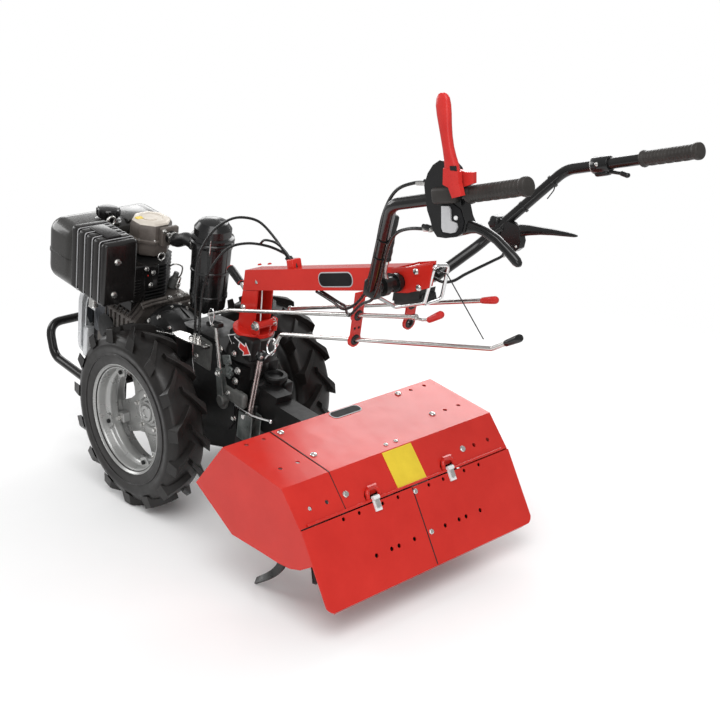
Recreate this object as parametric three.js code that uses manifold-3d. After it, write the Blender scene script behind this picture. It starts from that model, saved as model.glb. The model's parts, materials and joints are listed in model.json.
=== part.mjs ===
// A walking tractor with a rear tiller, in millimetres.
// X points forward to the engine, Y to the left, Z up. The machine is drawn level, with the
// wheel axle at the origin of its chassis frame, and is then tipped back until the tiller's
// tines touch the ground behind the wheels.
import * as THREE from "three";
import { mergeVertices } from "three/addons/utils/BufferGeometryUtils.js";
import Module from "manifold-3d";

const wasm = await Module();
wasm.setup();

// ---------------------------------------------------------------- driving dimensions
const WHEEL_RADIUS = 231;
const WHEEL_TRACK = 404;
const TYRE_WIDTH = 104;
const RIM_RADIUS = 141;
const RIM_WIDTH = 92;
const WHEEL_SIDES = 30;
const HUB_RADIUS = 34;
const AXLE_RADIUS = 17;

const GEARBOX_WIDTH = 116;
const COLUMN_X = -164;
const PEDESTAL_TOP = 257;
const FLANGE_RADIUS = 50;
const FLANGE_THICKNESS = 10;
const COLUMN_WIDTH = 50;
const BEAM_WALL = 4;

const CRANKCASE_REAR = 178;
const CRANKCASE_FRONT = 345;
const CRANKCASE_WIDTH = 210;
const CRANKCASE_BOTTOM = -20;
const CRANKCASE_TOP = 200;
const SHROUD_DEPTH = 72;
const SHROUD_WIDTH = 250;
const COWL_TOP = 300;
const ROCKER_HEIGHT = 92;
const TANK_LENGTH = 140;
const TANK_WIDTH = 310;
const TANK_HEIGHT = 172;
const MUFFLER_SIZE = [156, 97, 170];
const SHELL = 6; // wall of the tank
const FILTER_RADIUS = 50;
const FILTER_HEIGHT = 178;
const BUMPER_RADIUS = 12.5;

const HOOD_WIDTH = 640;
const HOOD_SPLIT_Y = 190;
const SHEET = 3;
const ROTOR_X = -600;
const ROTOR_Z = 12;
const TINE_RADIUS = 151;
const TINE_THICKNESS = 8;
const ROTOR_SHAFT_RADIUS = 20;

const HANDLE_TUBE_RADIUS = 11.5;
const HANDLE_FOOT = [-653, 118, 581];
const HANDLE_BEND = [-799, 250, 834];
const HANDLE_END = [-1092, 248, 965];
const GRIP_RADIUS = 17;
const GRIP_LENGTH = 128;
const YOKE_RADIUS = 15;
const ROD_RADIUS = 5;
const CABLE_RADIUS = 3.2;

const GAP = 0.3; // between pieces that seat on each other
const PIN_CLEARANCE = 1; // round a pin or shaft that turns

// ---------------------------------------------------------------- derived frame
const AXLE_HEIGHT = WHEEL_RADIUS * Math.cos(Math.PI / WHEEL_SIDES);
const TINE_WIDTH = 26;
const BLADE_ANGLE = Math.PI / 8; // the two tines that stand on the ground, each side of plumb
const TINE_STAND = TINE_RADIUS * Math.cos(BLADE_ANGLE - TINE_WIDTH / 2 / TINE_RADIUS);
const PITCH =
  Math.asin((AXLE_HEIGHT - TINE_STAND) / Math.hypot(ROTOR_X, ROTOR_Z)) +
  Math.atan2(ROTOR_Z, -ROTOR_X);

const machine = new THREE.Group();
const chassis = new THREE.Group();
chassis.position.set(0, 0, AXLE_HEIGHT);
chassis.rotation.y = -PITCH;
machine.add(chassis);

// ---------------------------------------------------------------- materials
const paint = {
  red: { color: 0xc8201c, roughness: 0.3, metalness: 0.1 },
  black: { color: 0x1a1a1b, roughness: 0.5, metalness: 0.2 },
  casting: { color: 0x2a2a2b, roughness: 0.6, metalness: 0.4 },
  rubber: { color: 0x17171a, roughness: 0.85, metalness: 0 },
  rim: { color: 0xa9adae, roughness: 0.4, metalness: 0.6 },
  steel: { color: 0xc9c9c9, roughness: 0.25, metalness: 0.9 },
  rocker: { color: 0x8d8479, roughness: 0.5, metalness: 0.3 },
  iron: { color: 0x26262a, roughness: 0.6, metalness: 0.5 },
};

// ---------------------------------------------------------------- geometry helpers
const LEFT = 1;
const RIGHT = -1;
const mirrored = (p, side) => [p[0], side * p[1], p[2]];
const UP = new THREE.Vector3(0, 1, 0);
const vec = (p) => new THREE.Vector3(...p);

function placed(geometry, x, y, z) {
  return geometry.translate(x, y, z);
}

function box(from, to) {
  const size = to.map((v, i) => v - from[i]);
  const centre = to.map((v, i) => (v + from[i]) / 2);
  return placed(new THREE.BoxGeometry(...size), ...centre);
}

// A cylinder between two points.
function bar(a, b, radius, sides = 16, radiusB = radius) {
  const along = vec(b).sub(vec(a));
  const shape = new THREE.CylinderGeometry(radiusB, radius, along.length(), sides);
  const turn = new THREE.Quaternion().setFromUnitVectors(UP, along.clone().normalize());
  shape.applyQuaternion(turn);
  return placed(shape, ...vec(a).addScaledVector(along, 0.5).toArray());
}

// A turned solid about the Y axis of the chassis frame. The profile runs [radius, y].
function turnedY(profile, segments) {
  const points = profile.map(([r, y]) => new THREE.Vector2(r, y));
  if (THREE.ShapeUtils.area(points) < 0) points.reverse();
  const shape = new THREE.LatheGeometry(points, segments);
  return shape.rotateY(Math.PI / segments);
}

const turnedZ = (profile, segments) => turnedY(profile, segments).rotateX(Math.PI / 2);
const turnedX = (profile, segments) => turnedY(profile, segments).rotateZ(-Math.PI / 2);

// A plate whose outline is drawn in XZ, between two Y planes.
function plateXZ(outline, y0, y1) {
  const shape = new THREE.Shape(outline.map(([x, z]) => new THREE.Vector2(x, z)));
  const plate = new THREE.ExtrudeGeometry(shape, { depth: y1 - y0, bevelEnabled: false, curveSegments: 8 });
  return plate.rotateX(Math.PI / 2).translate(0, y1, 0);
}

// A plate whose outline is a THREE.Shape in YZ, between two X planes.
function plateYZ(shape, x0, x1, bevel = 0) {
  const depth = x1 - x0 - 2 * bevel;
  const plate = new THREE.ExtrudeGeometry(shape, {
    depth,
    bevelEnabled: bevel > 0,
    bevelThickness: bevel,
    bevelSize: bevel,
    bevelOffset: -bevel,
    bevelSegments: 1,
    curveSegments: 3,
  });
  const axes = new THREE.Matrix4().makeBasis(
    new THREE.Vector3(0, 1, 0),
    new THREE.Vector3(0, 0, 1),
    new THREE.Vector3(1, 0, 0),
  );
  return plate.applyMatrix4(axes).translate(x0 + bevel, 0, 0);
}

function roundedRectangle(u0, v0, u1, v1, r) {
  const s = new THREE.Shape();
  s.moveTo(u0 + r, v0);
  s.lineTo(u1 - r, v0);
  s.absarc(u1 - r, v0 + r, r, -Math.PI / 2, 0, false);
  s.lineTo(u1, v1 - r);
  s.absarc(u1 - r, v1 - r, r, 0, Math.PI / 2, false);
  s.lineTo(u0 + r, v1);
  s.absarc(u0 + r, v1 - r, r, Math.PI / 2, Math.PI, false);
  s.lineTo(u0, v0 + r);
  s.absarc(u0 + r, v0 + r, r, Math.PI, 1.5 * Math.PI, false);
  return s;
}

// A path of straight runs whose corners are rounded to a bend radius.
function bentPath(points, bend) {
  const path = new THREE.CurvePath();
  const corners = points.map(vec);
  let from = corners[0];
  for (let i = 1; i < corners.length - 1; i++) {
    const back = corners[i - 1].clone().sub(corners[i]).normalize();
    const ahead = corners[i + 1].clone().sub(corners[i]).normalize();
    const half = back.angleTo(ahead) / 2;
    const cut = bend / Math.tan(half);
    const start = corners[i].clone().addScaledVector(back, cut);
    const end = corners[i].clone().addScaledVector(ahead, cut);
    path.add(new THREE.LineCurve3(from, start));
    path.add(new THREE.QuadraticBezierCurve3(start, corners[i], end));
    from = end;
  }
  path.add(new THREE.LineCurve3(from, corners[corners.length - 1]));
  return path;
}

function tube(path, radius, sides, steps) {
  const section = new THREE.Shape();
  for (let i = 0; i < sides; i++) {
    const a = (i / sides) * 2 * Math.PI;
    const x = radius * Math.cos(a);
    const y = radius * Math.sin(a);
    if (i === 0) section.moveTo(x, y);
    else section.lineTo(x, y);
  }
  return new THREE.ExtrudeGeometry(section, { steps, extrudePath: path, bevelEnabled: false });
}

const bentTube = (points, bend, radius, sides = 10, steps = 24) => tube(bentPath(points, bend), radius, sides, steps);
const smoothTube = (points, radius, sides = 8, steps = 40) =>
  tube(new THREE.CatmullRomCurve3(points.map(vec), false, "centripetal"), radius, sides, steps);

// ---------------------------------------------------------------- solids joined and cut
function solid(geometry) {
  const plain = new THREE.BufferGeometry().setAttribute("position", geometry.getAttribute("position"));
  if (geometry.index) plain.setIndex(geometry.index);
  const merged = mergeVertices(plain, 1e-3);
  const vertProperties = new Float32Array(merged.attributes.position.array);
  const triVerts = new Uint32Array(merged.index.array);
  return new wasm.Manifold(new wasm.Mesh({ numProp: 3, vertProperties, triVerts }));
}

function asGeometry(manifold) {
  const made = manifold.getMesh();
  const geometry = new THREE.BufferGeometry();
  geometry.setAttribute("position", new THREE.BufferAttribute(made.vertProperties, 3));
  geometry.setIndex(new THREE.BufferAttribute(made.triVerts, 1));
  return geometry;
}

const joined = (first, ...rest) => asGeometry(rest.reduce((sum, g) => sum.add(solid(g)), solid(first)));
const cut = (body, ...tools) => asGeometry(tools.reduce((left, g) => left.subtract(solid(g)), solid(body)));

function add(name, geometry, finish, group = chassis) {
  const flat = geometry.index ? geometry.toNonIndexed() : geometry;
  flat.computeVertexNormals();
  const mesh = new THREE.Mesh(flat, new THREE.MeshStandardMaterial(finish));
  mesh.name = name;
  group.add(mesh);
  return mesh;
}

// ---------------------------------------------------------------- wheels
const RIM_WALL = 3;
const RIM_FLANGE = 10; // how far the rim's edge stands above the bead seat
const BEAD_RADIUS = RIM_RADIUS - RIM_FLANGE;
const WELL_RADIUS = BEAD_RADIUS - 10;
const WHEEL_Y = WHEEL_TRACK / 2;
const DISC_OFFSET = 34; // of the wheel disc, inboard from the wheel's centre plane
const DISC_THICKNESS = 6;
const AXLE_HOUSING_END = 112;
const HUB_GAP = 6;

function rimSolid() {
  const half = RIM_WIDTH / 2;
  const outer = [
    [RIM_RADIUS, half],
    [BEAD_RADIUS, half - 5],
    [BEAD_RADIUS, half - 28],
    [WELL_RADIUS, half - 36],
    [WELL_RADIUS, 36 - half],
    [BEAD_RADIUS, 28 - half],
    [BEAD_RADIUS, 5 - half],
    [RIM_RADIUS, -half],
  ];
  const inner = outer.map(([r, y]) => [r - RIM_WALL, y]);
  return turnedY([...outer, ...inner.reverse(), outer[0]], WHEEL_SIDES);
}

function tyreSolid() {
  const bead = BEAD_RADIUS + GAP;
  const seat = RIM_WIDTH / 2 - 5 - 2 * GAP;
  const half = TYRE_WIDTH / 2;
  const side = [
    [bead, seat],
    [RIM_RADIUS + 10, half - 6],
    [(RIM_RADIUS + WHEEL_RADIUS) / 2, half],
    [WHEEL_RADIUS - 12, half - 3],
    [WHEEL_RADIUS, half - 14],
  ];
  const other = side.map(([r, y]) => [r, -y]).reverse();
  return turnedY([...side, ...other, side[0]], WHEEL_SIDES);
}

// The wheel's centre: a cross of four arms that reach the rim's inboard bead seat.
function wheelDisc(plane) {
  const reach = (BEAD_RADIUS - RIM_WALL) * Math.cos(Math.PI / WHEEL_SIDES) - GAP;
  const outline = [];
  for (let arm = 0; arm < 4; arm++) {
    const middle = (arm * Math.PI) / 2 + Math.PI / 4;
    const notch = middle + Math.PI / 4;
    for (const step of [-0.32, 0, 0.32]) {
      outline.push([reach * Math.cos(middle + step), reach * Math.sin(middle + step)]);
    }
    for (const step of [-0.3, 0, 0.3]) {
      const inner = HUB_RADIUS * (step ? 1.95 : 1.78);
      outline.push([inner * Math.cos(notch + step), inner * Math.sin(notch + step)]);
    }
  }
  return plateXZ(outline, plane - DISC_THICKNESS / 2, plane + DISC_THICKNESS / 2);
}

// The disc is bolted to a hub that runs to the axle housing, and its shaft enters the housing.
function wheelCentre(side) {
  const plane = -side * DISC_OFFSET;
  const housing = side * (AXLE_HOUSING_END - WHEEL_Y);
  return joined(
    wheelDisc(plane),
    bar([0, plane, 0], [0, plane - side * 12, 0], HUB_RADIUS + 20, 18),
    bar([0, plane + side * 12, 0], [0, housing + side * HUB_GAP, 0], HUB_RADIUS, 18),
    bar([0, plane, 0], [0, housing - side * 24, 0], AXLE_RADIUS, 12),
  );
}

function addWheel(side, name) {
  const group = new THREE.Group();
  group.position.set(0, side * WHEEL_Y, AXLE_HEIGHT);
  machine.add(group);
  add(`tyre_${name}`, tyreSolid(), paint.rubber, group);
  add(`rim_${name}`, rimSolid(), paint.rim, group);
  add(`wheel_centre_${name}`, wheelCentre(side), paint.rim, group);
}

addWheel(1, "left");
addWheel(-1, "right");

// ---------------------------------------------------------------- gearbox and clutch bell
const HITCH_Z1 = 140;
const GEARBOX_REAR = -200;
const GEARBOX_FRONT = 92;
const PEDESTAL_RADIUS = 46;
const CRANK_Z = 90;

function gearbox() {
  const half = GEARBOX_WIDTH / 2;
  const outline = [
    [GEARBOX_REAR, -40],
    [-60, -92],
    [50, -92],
    [GEARBOX_FRONT, -50],
    [GEARBOX_FRONT, 165],
    [50, 200],
    [-90, 215],
    [GEARBOX_REAR, 180],
  ];
  const shell = joined(
    plateXZ(outline, -half, half),
    bar([0, -AXLE_HOUSING_END, 0], [0, AXLE_HOUSING_END, 0], 38, 20),
    bar([COLUMN_X, 0, HITCH_Z1 + 6], [COLUMN_X, 0, PEDESTAL_TOP], PEDESTAL_RADIUS, 24),
  );
  const bore = AXLE_RADIUS + PIN_CLEARANCE * 0.7;
  const sockets = [1, -1].map((side) =>
    bar([0, side * (AXLE_HOUSING_END - 30), 0], [0, side * (AXLE_HOUSING_END + 5), 0], bore, 12),
  );
  return cut(shell, ...sockets);
}

function clutchBell() {
  const profile = [
    [0, GEARBOX_FRONT + GAP],
    [88, GEARBOX_FRONT + GAP],
    [88, GEARBOX_FRONT + 12],
    [78, GEARBOX_FRONT + 18],
    [92, CRANKCASE_REAR - 14],
    [100, CRANKCASE_REAR - 12],
    [100, CRANKCASE_REAR - GAP],
    [0, CRANKCASE_REAR - GAP],
  ];
  return placed(turnedX(profile, 18), 0, 0, CRANK_Z);
}

// The clutch arm stands on a round cover on the gearbox's left face.
function clutchArm() {
  const seat = GEARBOX_WIDTH / 2 + GAP;
  return joined(
    bar([40, seat, 168], [40, 122, 168], 42, 20),
    box([-118, 96, 204], [26, 112, 209]),
    box([-4, 96, 180], [26, 112, 207]),
  );
}

add("gearbox_case", gearbox(), paint.black);
add("clutch_arm", clutchArm(), paint.steel);
add("clutch_bell", clutchBell(), paint.casting);

// ---------------------------------------------------------------- engine
const COWL_LEFT = 100;
const ROCKER_X = 285;
const ROCKER_Y = -6;
const ROCKER_RADIUS = 56;
const TANK_X0 = 340;
const TANK_Y0 = -120;
const TANK_Z0 = 190;
const MUFFLER_X0 = 184;
const MUFFLER_Z0 = 215;
const FILTER_X = 45;
const FILTER_Y = -20;
const FILTER_Z0 = 232;
const FILTER_CAP_HEIGHT = 57;

function crankcase() {
  const half = CRANKCASE_WIDTH / 2;
  const section = new THREE.Shape();
  section.moveTo(-half + 20, CRANKCASE_BOTTOM);
  section.lineTo(half - 20, CRANKCASE_BOTTOM);
  section.lineTo(half, CRANKCASE_BOTTOM + 30);
  section.lineTo(half, CRANKCASE_TOP - 45);
  section.lineTo(half - 40, CRANKCASE_TOP);
  section.lineTo(-half + 40, CRANKCASE_TOP);
  section.lineTo(-half, CRANKCASE_TOP - 45);
  section.lineTo(-half, CRANKCASE_BOTTOM + 30);
  return plateYZ(section, CRANKCASE_REAR, CRANKCASE_FRONT);
}

function shroud() {
  const outline = roundedRectangle(-SHROUD_WIDTH / 2, -50, SHROUD_WIDTH / 2, TANK_Z0 - GAP, 60);
  return plateYZ(outline, CRANKCASE_FRONT + GAP, CRANKCASE_FRONT + SHROUD_DEPTH, 6);
}

function recoilStarter() {
  const face = CRANKCASE_FRONT + SHROUD_DEPTH + GAP;
  const profile = [
    [0, face],
    [86, face],
    [86, face + 22],
    [72, face + 42],
    [30, face + 50],
    [0, face + 50],
  ];
  return placed(turnedX(profile, 18), 0, 0, CRANK_Z - 15);
}

// The cowl's rear corner on the right is cut back beside the filter.
function cylinderCowl() {
  const outline = [
    [198, COWL_LEFT - GAP],
    [198, 0],
    [262, -62],
    [TANK_X0 - GAP, -62],
    [TANK_X0 - GAP, COWL_LEFT - GAP],
  ];
  const shape = new THREE.Shape(outline.map(([x, y]) => new THREE.Vector2(x, y)));
  const depth = COWL_TOP - CRANKCASE_TOP - GAP;
  return placed(new THREE.ExtrudeGeometry(shape, { depth, bevelEnabled: false }), 0, 0, CRANKCASE_TOP + GAP);
}

function rockerCover() {
  const top = COWL_TOP + ROCKER_HEIGHT;
  const profile = [
    [0, COWL_TOP + GAP],
    [ROCKER_RADIUS - 4, COWL_TOP + GAP],
    [ROCKER_RADIUS - 4, COWL_TOP + 40],
    [ROCKER_RADIUS, COWL_TOP + 42],
    [ROCKER_RADIUS, top - 16],
    [ROCKER_RADIUS - 8, top - 5],
    [ROCKER_RADIUS - 26, top],
    [0, top],
  ];
  return placed(turnedZ(profile, 8), ROCKER_X, ROCKER_Y, 0);
}

// The tank and the muffler are shells, open underneath where nothing shows.
function fuelTank() {
  const [y1, z1] = [TANK_Y0 + TANK_WIDTH, TANK_Z0 + TANK_HEIGHT];
  const [x0, x1] = [TANK_X0, TANK_X0 + TANK_LENGTH];
  const inside = roundedRectangle(TANK_Y0 + SHELL, TANK_Z0 + SHELL, y1 - SHELL, z1 - SHELL, 44);
  return cut(
    plateYZ(roundedRectangle(TANK_Y0, TANK_Z0, y1, z1, 48), x0, x1, 26),
    plateYZ(inside, x0 + SHELL, x1 - SHELL, 24),
    box([x0 + 40, TANK_Y0 + 60, TANK_Z0 - 5], [x1 - 40, y1 - 60, TANK_Z0 + 40]),
  );
}

function fuelCap() {
  const seat = TANK_Z0 + TANK_HEIGHT + GAP;
  const profile = [
    [0, seat],
    [22, seat],
    [22, seat + 10],
    [30, seat + 12],
    [30, seat + 28],
    [24, seat + 33],
    [0, seat + 33],
  ];
  return placed(turnedZ(profile, 20), TANK_X0 + 42, 62, 0);
}

function muffler() {
  const [length, width, height] = MUFFLER_SIZE;
  const [x1, y1, z1] = [MUFFLER_X0 + length - GAP, COWL_LEFT + width + 3, MUFFLER_Z0 + height];
  const shell = cut(
    plateYZ(roundedRectangle(COWL_LEFT, MUFFLER_Z0, y1, z1, 14), MUFFLER_X0, x1, 8),
    box([MUFFLER_X0 + 10, COWL_LEFT + 10, MUFFLER_Z0 - 5], [x1 - 10, y1 - 30, z1 - 10]),
  );
  const tailPipe = bar([262, 176, MUFFLER_Z0 + 20], [262, 176, MUFFLER_Z0 - 30], 12, 12);
  return joined(shell, tailPipe);
}

function filterBody() {
  const seat = FILTER_Z0 + FILTER_HEIGHT;
  const profile = [
    [0, FILTER_Z0],
    [FILTER_RADIUS - 6, FILTER_Z0],
    [FILTER_RADIUS - 2, FILTER_Z0 + 6],
    [FILTER_RADIUS, seat],
    [FILTER_RADIUS + 5, seat],
    [FILTER_RADIUS + 5, seat + 14],
    [FILTER_RADIUS - 4, seat + 20],
    [FILTER_RADIUS - 4, seat + 40],
    [FILTER_RADIUS - 14, seat + FILTER_CAP_HEIGHT],
    [0, seat + FILTER_CAP_HEIGHT],
  ];
  return placed(turnedZ(profile, 24), FILTER_X, FILTER_Y, 0);
}

// The intake elbow leaves the filter's side and ends on the rocker cover's rear flat.
function intakeElbow() {
  const start = FILTER_X + FILTER_RADIUS + GAP;
  const flat = ROCKER_X - ROCKER_RADIUS * Math.cos(Math.PI / 8);
  const y = FILTER_Y;
  const path = bentPath([[start, y, 378], [start + 55, y, 378], [flat - 50, y, 358], [flat - GAP * 4, y, 358]], 30);
  return joined(
    tube(path, 17, 10, 9),
    bar([flat - 12, y, 358], [flat - GAP, y, 358], 27, 12),
  );
}

add("engine_crankcase", crankcase(), paint.casting);
add("blower_shroud", shroud(), paint.rim);
add("recoil_starter", recoilStarter(), paint.black);
add("cylinder_cowl", cylinderCowl(), paint.black);
add("rocker_cover", rockerCover(), paint.rocker);
add("fuel_tank", fuelTank(), paint.black);
add("fuel_cap", fuelCap(), paint.black);
add("muffler", muffler(), paint.black);
add("air_cleaner", filterBody(), paint.black);
add("intake_elbow", intakeElbow(), paint.black);

// ---------------------------------------------------------------- front bumper
const BUMPER_Y = 120;
const BUMPER_Z = -90;
const BUMPER_NOSE = 568;

function engineCradle() {
  const inner = BUMPER_Y - BUMPER_RADIUS - GAP;
  const top = CRANKCASE_BOTTOM - GAP;
  return joined(
    box([200, -inner, top - 8], [CRANKCASE_FRONT - 2, inner, top]),
    box([210, inner - 8, BUMPER_Z - 16], [330, inner, top - 4]),
    box([210, -inner, BUMPER_Z - 16], [330, 8 - inner, top - 4]),
  );
}

function frontBumper() {
  const y = BUMPER_Y;
  const points = [
    [225, y, BUMPER_Z],
    [BUMPER_NOSE - 34, y, BUMPER_Z],
    [BUMPER_NOSE, y, BUMPER_Z + 86],
    [BUMPER_NOSE, -y, BUMPER_Z + 86],
    [BUMPER_NOSE - 34, -y, BUMPER_Z],
    [225, -y, BUMPER_Z],
  ];
  return bentTube(points, 36, BUMPER_RADIUS, 8, 40);
}

add("engine_cradle", engineCradle(), paint.black);
add("front_bumper", frontBumper(), paint.black);

// ---------------------------------------------------------------- tiller
const HITCH_END = -300;
const HITCH_Z0 = 30;
const HOOD_OUTLINE = {
  lip: [-445, 141],
  frontTop: [-470, 182],
  rearTop: [-668, 183],
  hinge: [-736, 121],
};
const SIDE_LOWER = [
  [-784, 59],
  [-751, 31],
  [-720, 16],
  [-679, 8],
  [-620, 2],
  [-527, -9],
  [-389, 51],
];
const FLAP_LENGTH = 180;
const FLAP_LIP = 14;
const CASE_WIDTH = 56;

function tillerHitch() {
  return box([HITCH_END, -24, HITCH_Z0], [GEARBOX_REAR - GAP, 24, HITCH_Z1]);
}

function gearCase() {
  const half = CASE_WIDTH / 2;
  const arm = [
    [HITCH_END - GAP, 40],
    [HITCH_END - GAP, 124],
    [-440, 128],
    [-500, 142],
    [-520, HOOD_OUTLINE.rearTop[1] - SHEET - GAP * 5],
    [-570, HOOD_OUTLINE.rearTop[1] - SHEET - GAP * 5],
    [-650, 80],
    [ROTOR_X - 48, ROTOR_Z],
    [ROTOR_X + 48, ROTOR_Z],
    [-520, 62],
  ];
  const shell = joined(plateXZ(arm, -half, half), bar([ROTOR_X, -half, ROTOR_Z], [ROTOR_X, half, ROTOR_Z], 56, 24));
  const bore = ROTOR_SHAFT_RADIUS + PIN_CLEARANCE * 0.7;
  return cut(shell, bar([ROTOR_X, -half - 5, ROTOR_Z], [ROTOR_X, half + 5, ROTOR_Z], bore, 16));
}

// A folded sheet: the outline's outer face, and the same face moved in by the sheet's thickness.
function folded(outer, thickness) {
  const inner = outer.map((point, i) => {
    const before = outer[Math.max(i - 1, 0)];
    const after = outer[Math.min(i + 1, outer.length - 1)];
    const normals = [];
    if (i > 0) normals.push(normalOf(before, point));
    if (i < outer.length - 1) normals.push(normalOf(point, after));
    const [nx, nz] = normals.reduce(([sx, sz], [x, z]) => [sx + x, sz + z], [0, 0]);
    const length = Math.hypot(nx, nz);
    const cosHalf = (normals[0][0] * nx + normals[0][1] * nz) / length;
    const reach = thickness / cosHalf / length;
    return [point[0] - nx * reach, point[1] - nz * reach];
  });
  return [...outer, ...inner.reverse()];
}

function normalOf(a, b) {
  const dx = b[0] - a[0];
  const dz = b[1] - a[1];
  const length = Math.hypot(dx, dz);
  return [dz / length, -dx / length];
}

const hoodProfile = [HOOD_OUTLINE.lip, HOOD_OUTLINE.frontTop, HOOD_OUTLINE.rearTop, HOOD_OUTLINE.hinge];
const HALF_HOOD = HOOD_WIDTH / 2;

// A run of the folded sheet, welded to the side plate at one end.
function hoodPart(y0, y1, plateY) {
  const { frontTop, rearTop, hinge } = HOOD_OUTLINE;
  const sidePlate = plateXZ([frontTop, rearTop, hinge, ...SIDE_LOWER], plateY, plateY + SHEET);
  return joined(plateXZ(folded(hoodProfile, SHEET), y0, y1), sidePlate);
}

// The flap hangs from the hood's rear edge and rests on the side plates' rear edges.
const flapRun = [SIDE_LOWER[0][0] - HOOD_OUTLINE.hinge[0], SIDE_LOWER[0][1] - HOOD_OUTLINE.hinge[1]];
const flapUnit = flapRun.map((v) => v / Math.hypot(...flapRun));
const flapNormal = [flapUnit[1], -flapUnit[0]];
const flapPoint = (along, out) => [
  HOOD_OUTLINE.hinge[0] + flapUnit[0] * along + flapNormal[0] * out,
  HOOD_OUTLINE.hinge[1] + flapUnit[1] * along + flapNormal[1] * out,
];

function flap(y0, y1) {
  const top = flapPoint(3, GAP);
  const bottom = flapPoint(FLAP_LENGTH, GAP);
  const lip = flapPoint(FLAP_LENGTH + 4, GAP - FLAP_LIP);
  return plateXZ(folded([top, bottom, lip], -SHEET), y0, y1);
}

add("tiller_hitch", tillerHitch(), paint.black);
add("tiller_gear_case", gearCase(), paint.black);
add("tiller_hood", hoodPart(-HALF_HOOD, HOOD_SPLIT_Y, -HALF_HOOD), paint.red);
add("hood_extension", hoodPart(HOOD_SPLIT_Y + GAP, HALF_HOOD, HALF_HOOD - SHEET), paint.red);
add("flap_left", flap(GAP, HALF_HOOD), paint.red);
add("flap_right", flap(-HALF_HOOD, -GAP), paint.red);

// ---------------------------------------------------------------- tiller rotor
const TINE_SET_Y = { outer: 240, inner: 105 };
const TINE_FOOT = 34;
const TINES_PER_SET = 4;
const ROTOR_END = 290;

const rotorGroup = new THREE.Group();
rotorGroup.position.copy(new THREE.Vector3(ROTOR_X, 0, ROTOR_Z));
rotorGroup.rotation.y = PITCH; // its tines are set from plumb, so the chassis' tip is taken off again
chassis.add(rotorGroup);

// A tine's outline: a strip that sweeps forward as it reaches out, from radius to radius.
function tineOutline(angle, fromRadius) {
  const edges = [[], []];
  const steps = fromRadius > 100 ? 1 : 4;
  for (let i = 0; i <= steps; i++) {
    const r = fromRadius + ((TINE_RADIUS - fromRadius) * i) / steps;
    const left = (TINE_RADIUS - r) / (TINE_RADIUS - 40);
    const swept = angle - 0.5 * left ** 2;
    const half = TINE_WIDTH / 2 / r;
    [swept - half, swept + half].forEach((a, e) => edges[e].push([-r * Math.sin(a), -r * Math.cos(a)]));
  }
  return [...edges[0], ...edges[1].reverse()];
}

function tineSet(side, y, phase, footSide) {
  const inner = side * y;
  const outer = inner + side * TINE_THICKNESS;
  const [y0, y1] = [Math.min(inner, outer), Math.max(inner, outer)];
  const foot = inner + side * footSide * TINE_FOOT;
  const [f0, f1] = [Math.min(inner, foot), Math.max(inner, foot)];
  const pieces = [bar([0, y0, 0], [0, y1, 0], 52, 16)];
  for (let i = 0; i < TINES_PER_SET; i++) {
    const angle = phase + (i * 2 * Math.PI) / TINES_PER_SET;
    pieces.push(plateXZ(tineOutline(angle, 40), y0, y1));
    pieces.push(plateXZ(tineOutline(angle, TINE_RADIUS - 18), f0, f1));
  }
  const bore = bar([0, y0 - 5, 0], [0, y1 + 5, 0], ROTOR_SHAFT_RADIUS + GAP, 12);
  return cut(joined(...pieces), bore);
}

const rotorShaft = bar([0, -ROTOR_END, 0], [0, ROTOR_END, 0], ROTOR_SHAFT_RADIUS, 12);
add("rotor_shaft", rotorShaft, paint.iron, rotorGroup);
add("tines_outer_left", tineSet(1, TINE_SET_Y.outer, BLADE_ANGLE, 1), paint.iron, rotorGroup);
add("tines_inner_left", tineSet(1, TINE_SET_Y.inner, -BLADE_ANGLE, -1), paint.iron, rotorGroup);
add("tines_outer_right", tineSet(-1, TINE_SET_Y.outer, BLADE_ANGLE, 1), paint.iron, rotorGroup);
add("tines_inner_right", tineSet(-1, TINE_SET_Y.inner, -BLADE_ANGLE, -1), paint.iron, rotorGroup);

// ---------------------------------------------------------------- hitch levers
const BRAKE_LINK_Y = GEARBOX_WIDTH / 2 + 14;
const HITCH_LEVER_Y = 44;

function brakeLink() {
  return joined(
    bar([-106, BRAKE_LINK_Y, 256], [-143, BRAKE_LINK_Y, 141], 6, 12),
    bar([-141, BRAKE_LINK_Y, 150], [-158, BRAKE_LINK_Y, 92], 11, 12),
    bar([-158, GEARBOX_WIDTH / 2 + GAP, 94], [-158, BRAKE_LINK_Y + 12, 94], 9, 12),
  );
}

function hitchLever() {
  const y = HITCH_LEVER_Y;
  return joined(
    bar([-252, y, 232], [-226, y, 60], 7, 12),
    placed(new THREE.SphereGeometry(13, 10, 6), -253, y, 240),
    bar([-228, 24 + GAP, 72], [-228, y, 72], 7, 12),
  );
}

add("brake_link", brakeLink(), paint.steel);
add("hitch_lever", hitchLever(), paint.steel);

// ---------------------------------------------------------------- handlebar column and beam
const BEAM_SLOPE = Math.atan2(619 - 412, 664 - 143);
const BEAM_TOP_FRONT = [-143, 412];
const BEAM_HEIGHT = 50;
const BEAM_END = -625;
const COLUMN_FRONT = -134;
const COLUMN_REAR = -194;
const BEAM_HALF = COLUMN_WIDTH / 2;
const LUG_X = -284; // the lug on the beam's top that holds the cables
const beamTop = (x) => BEAM_TOP_FRONT[1] + Math.tan(BEAM_SLOPE) * (BEAM_TOP_FRONT[0] - x);
const beamBottom = (x) => beamTop(x) - BEAM_HEIGHT / Math.cos(BEAM_SLOPE);

function swivelFlange() {
  return bar([COLUMN_X, 0, PEDESTAL_TOP + GAP], [COLUMN_X, 0, PEDESTAL_TOP + FLANGE_THICKNESS], FLANGE_RADIUS, 24);
}

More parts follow.
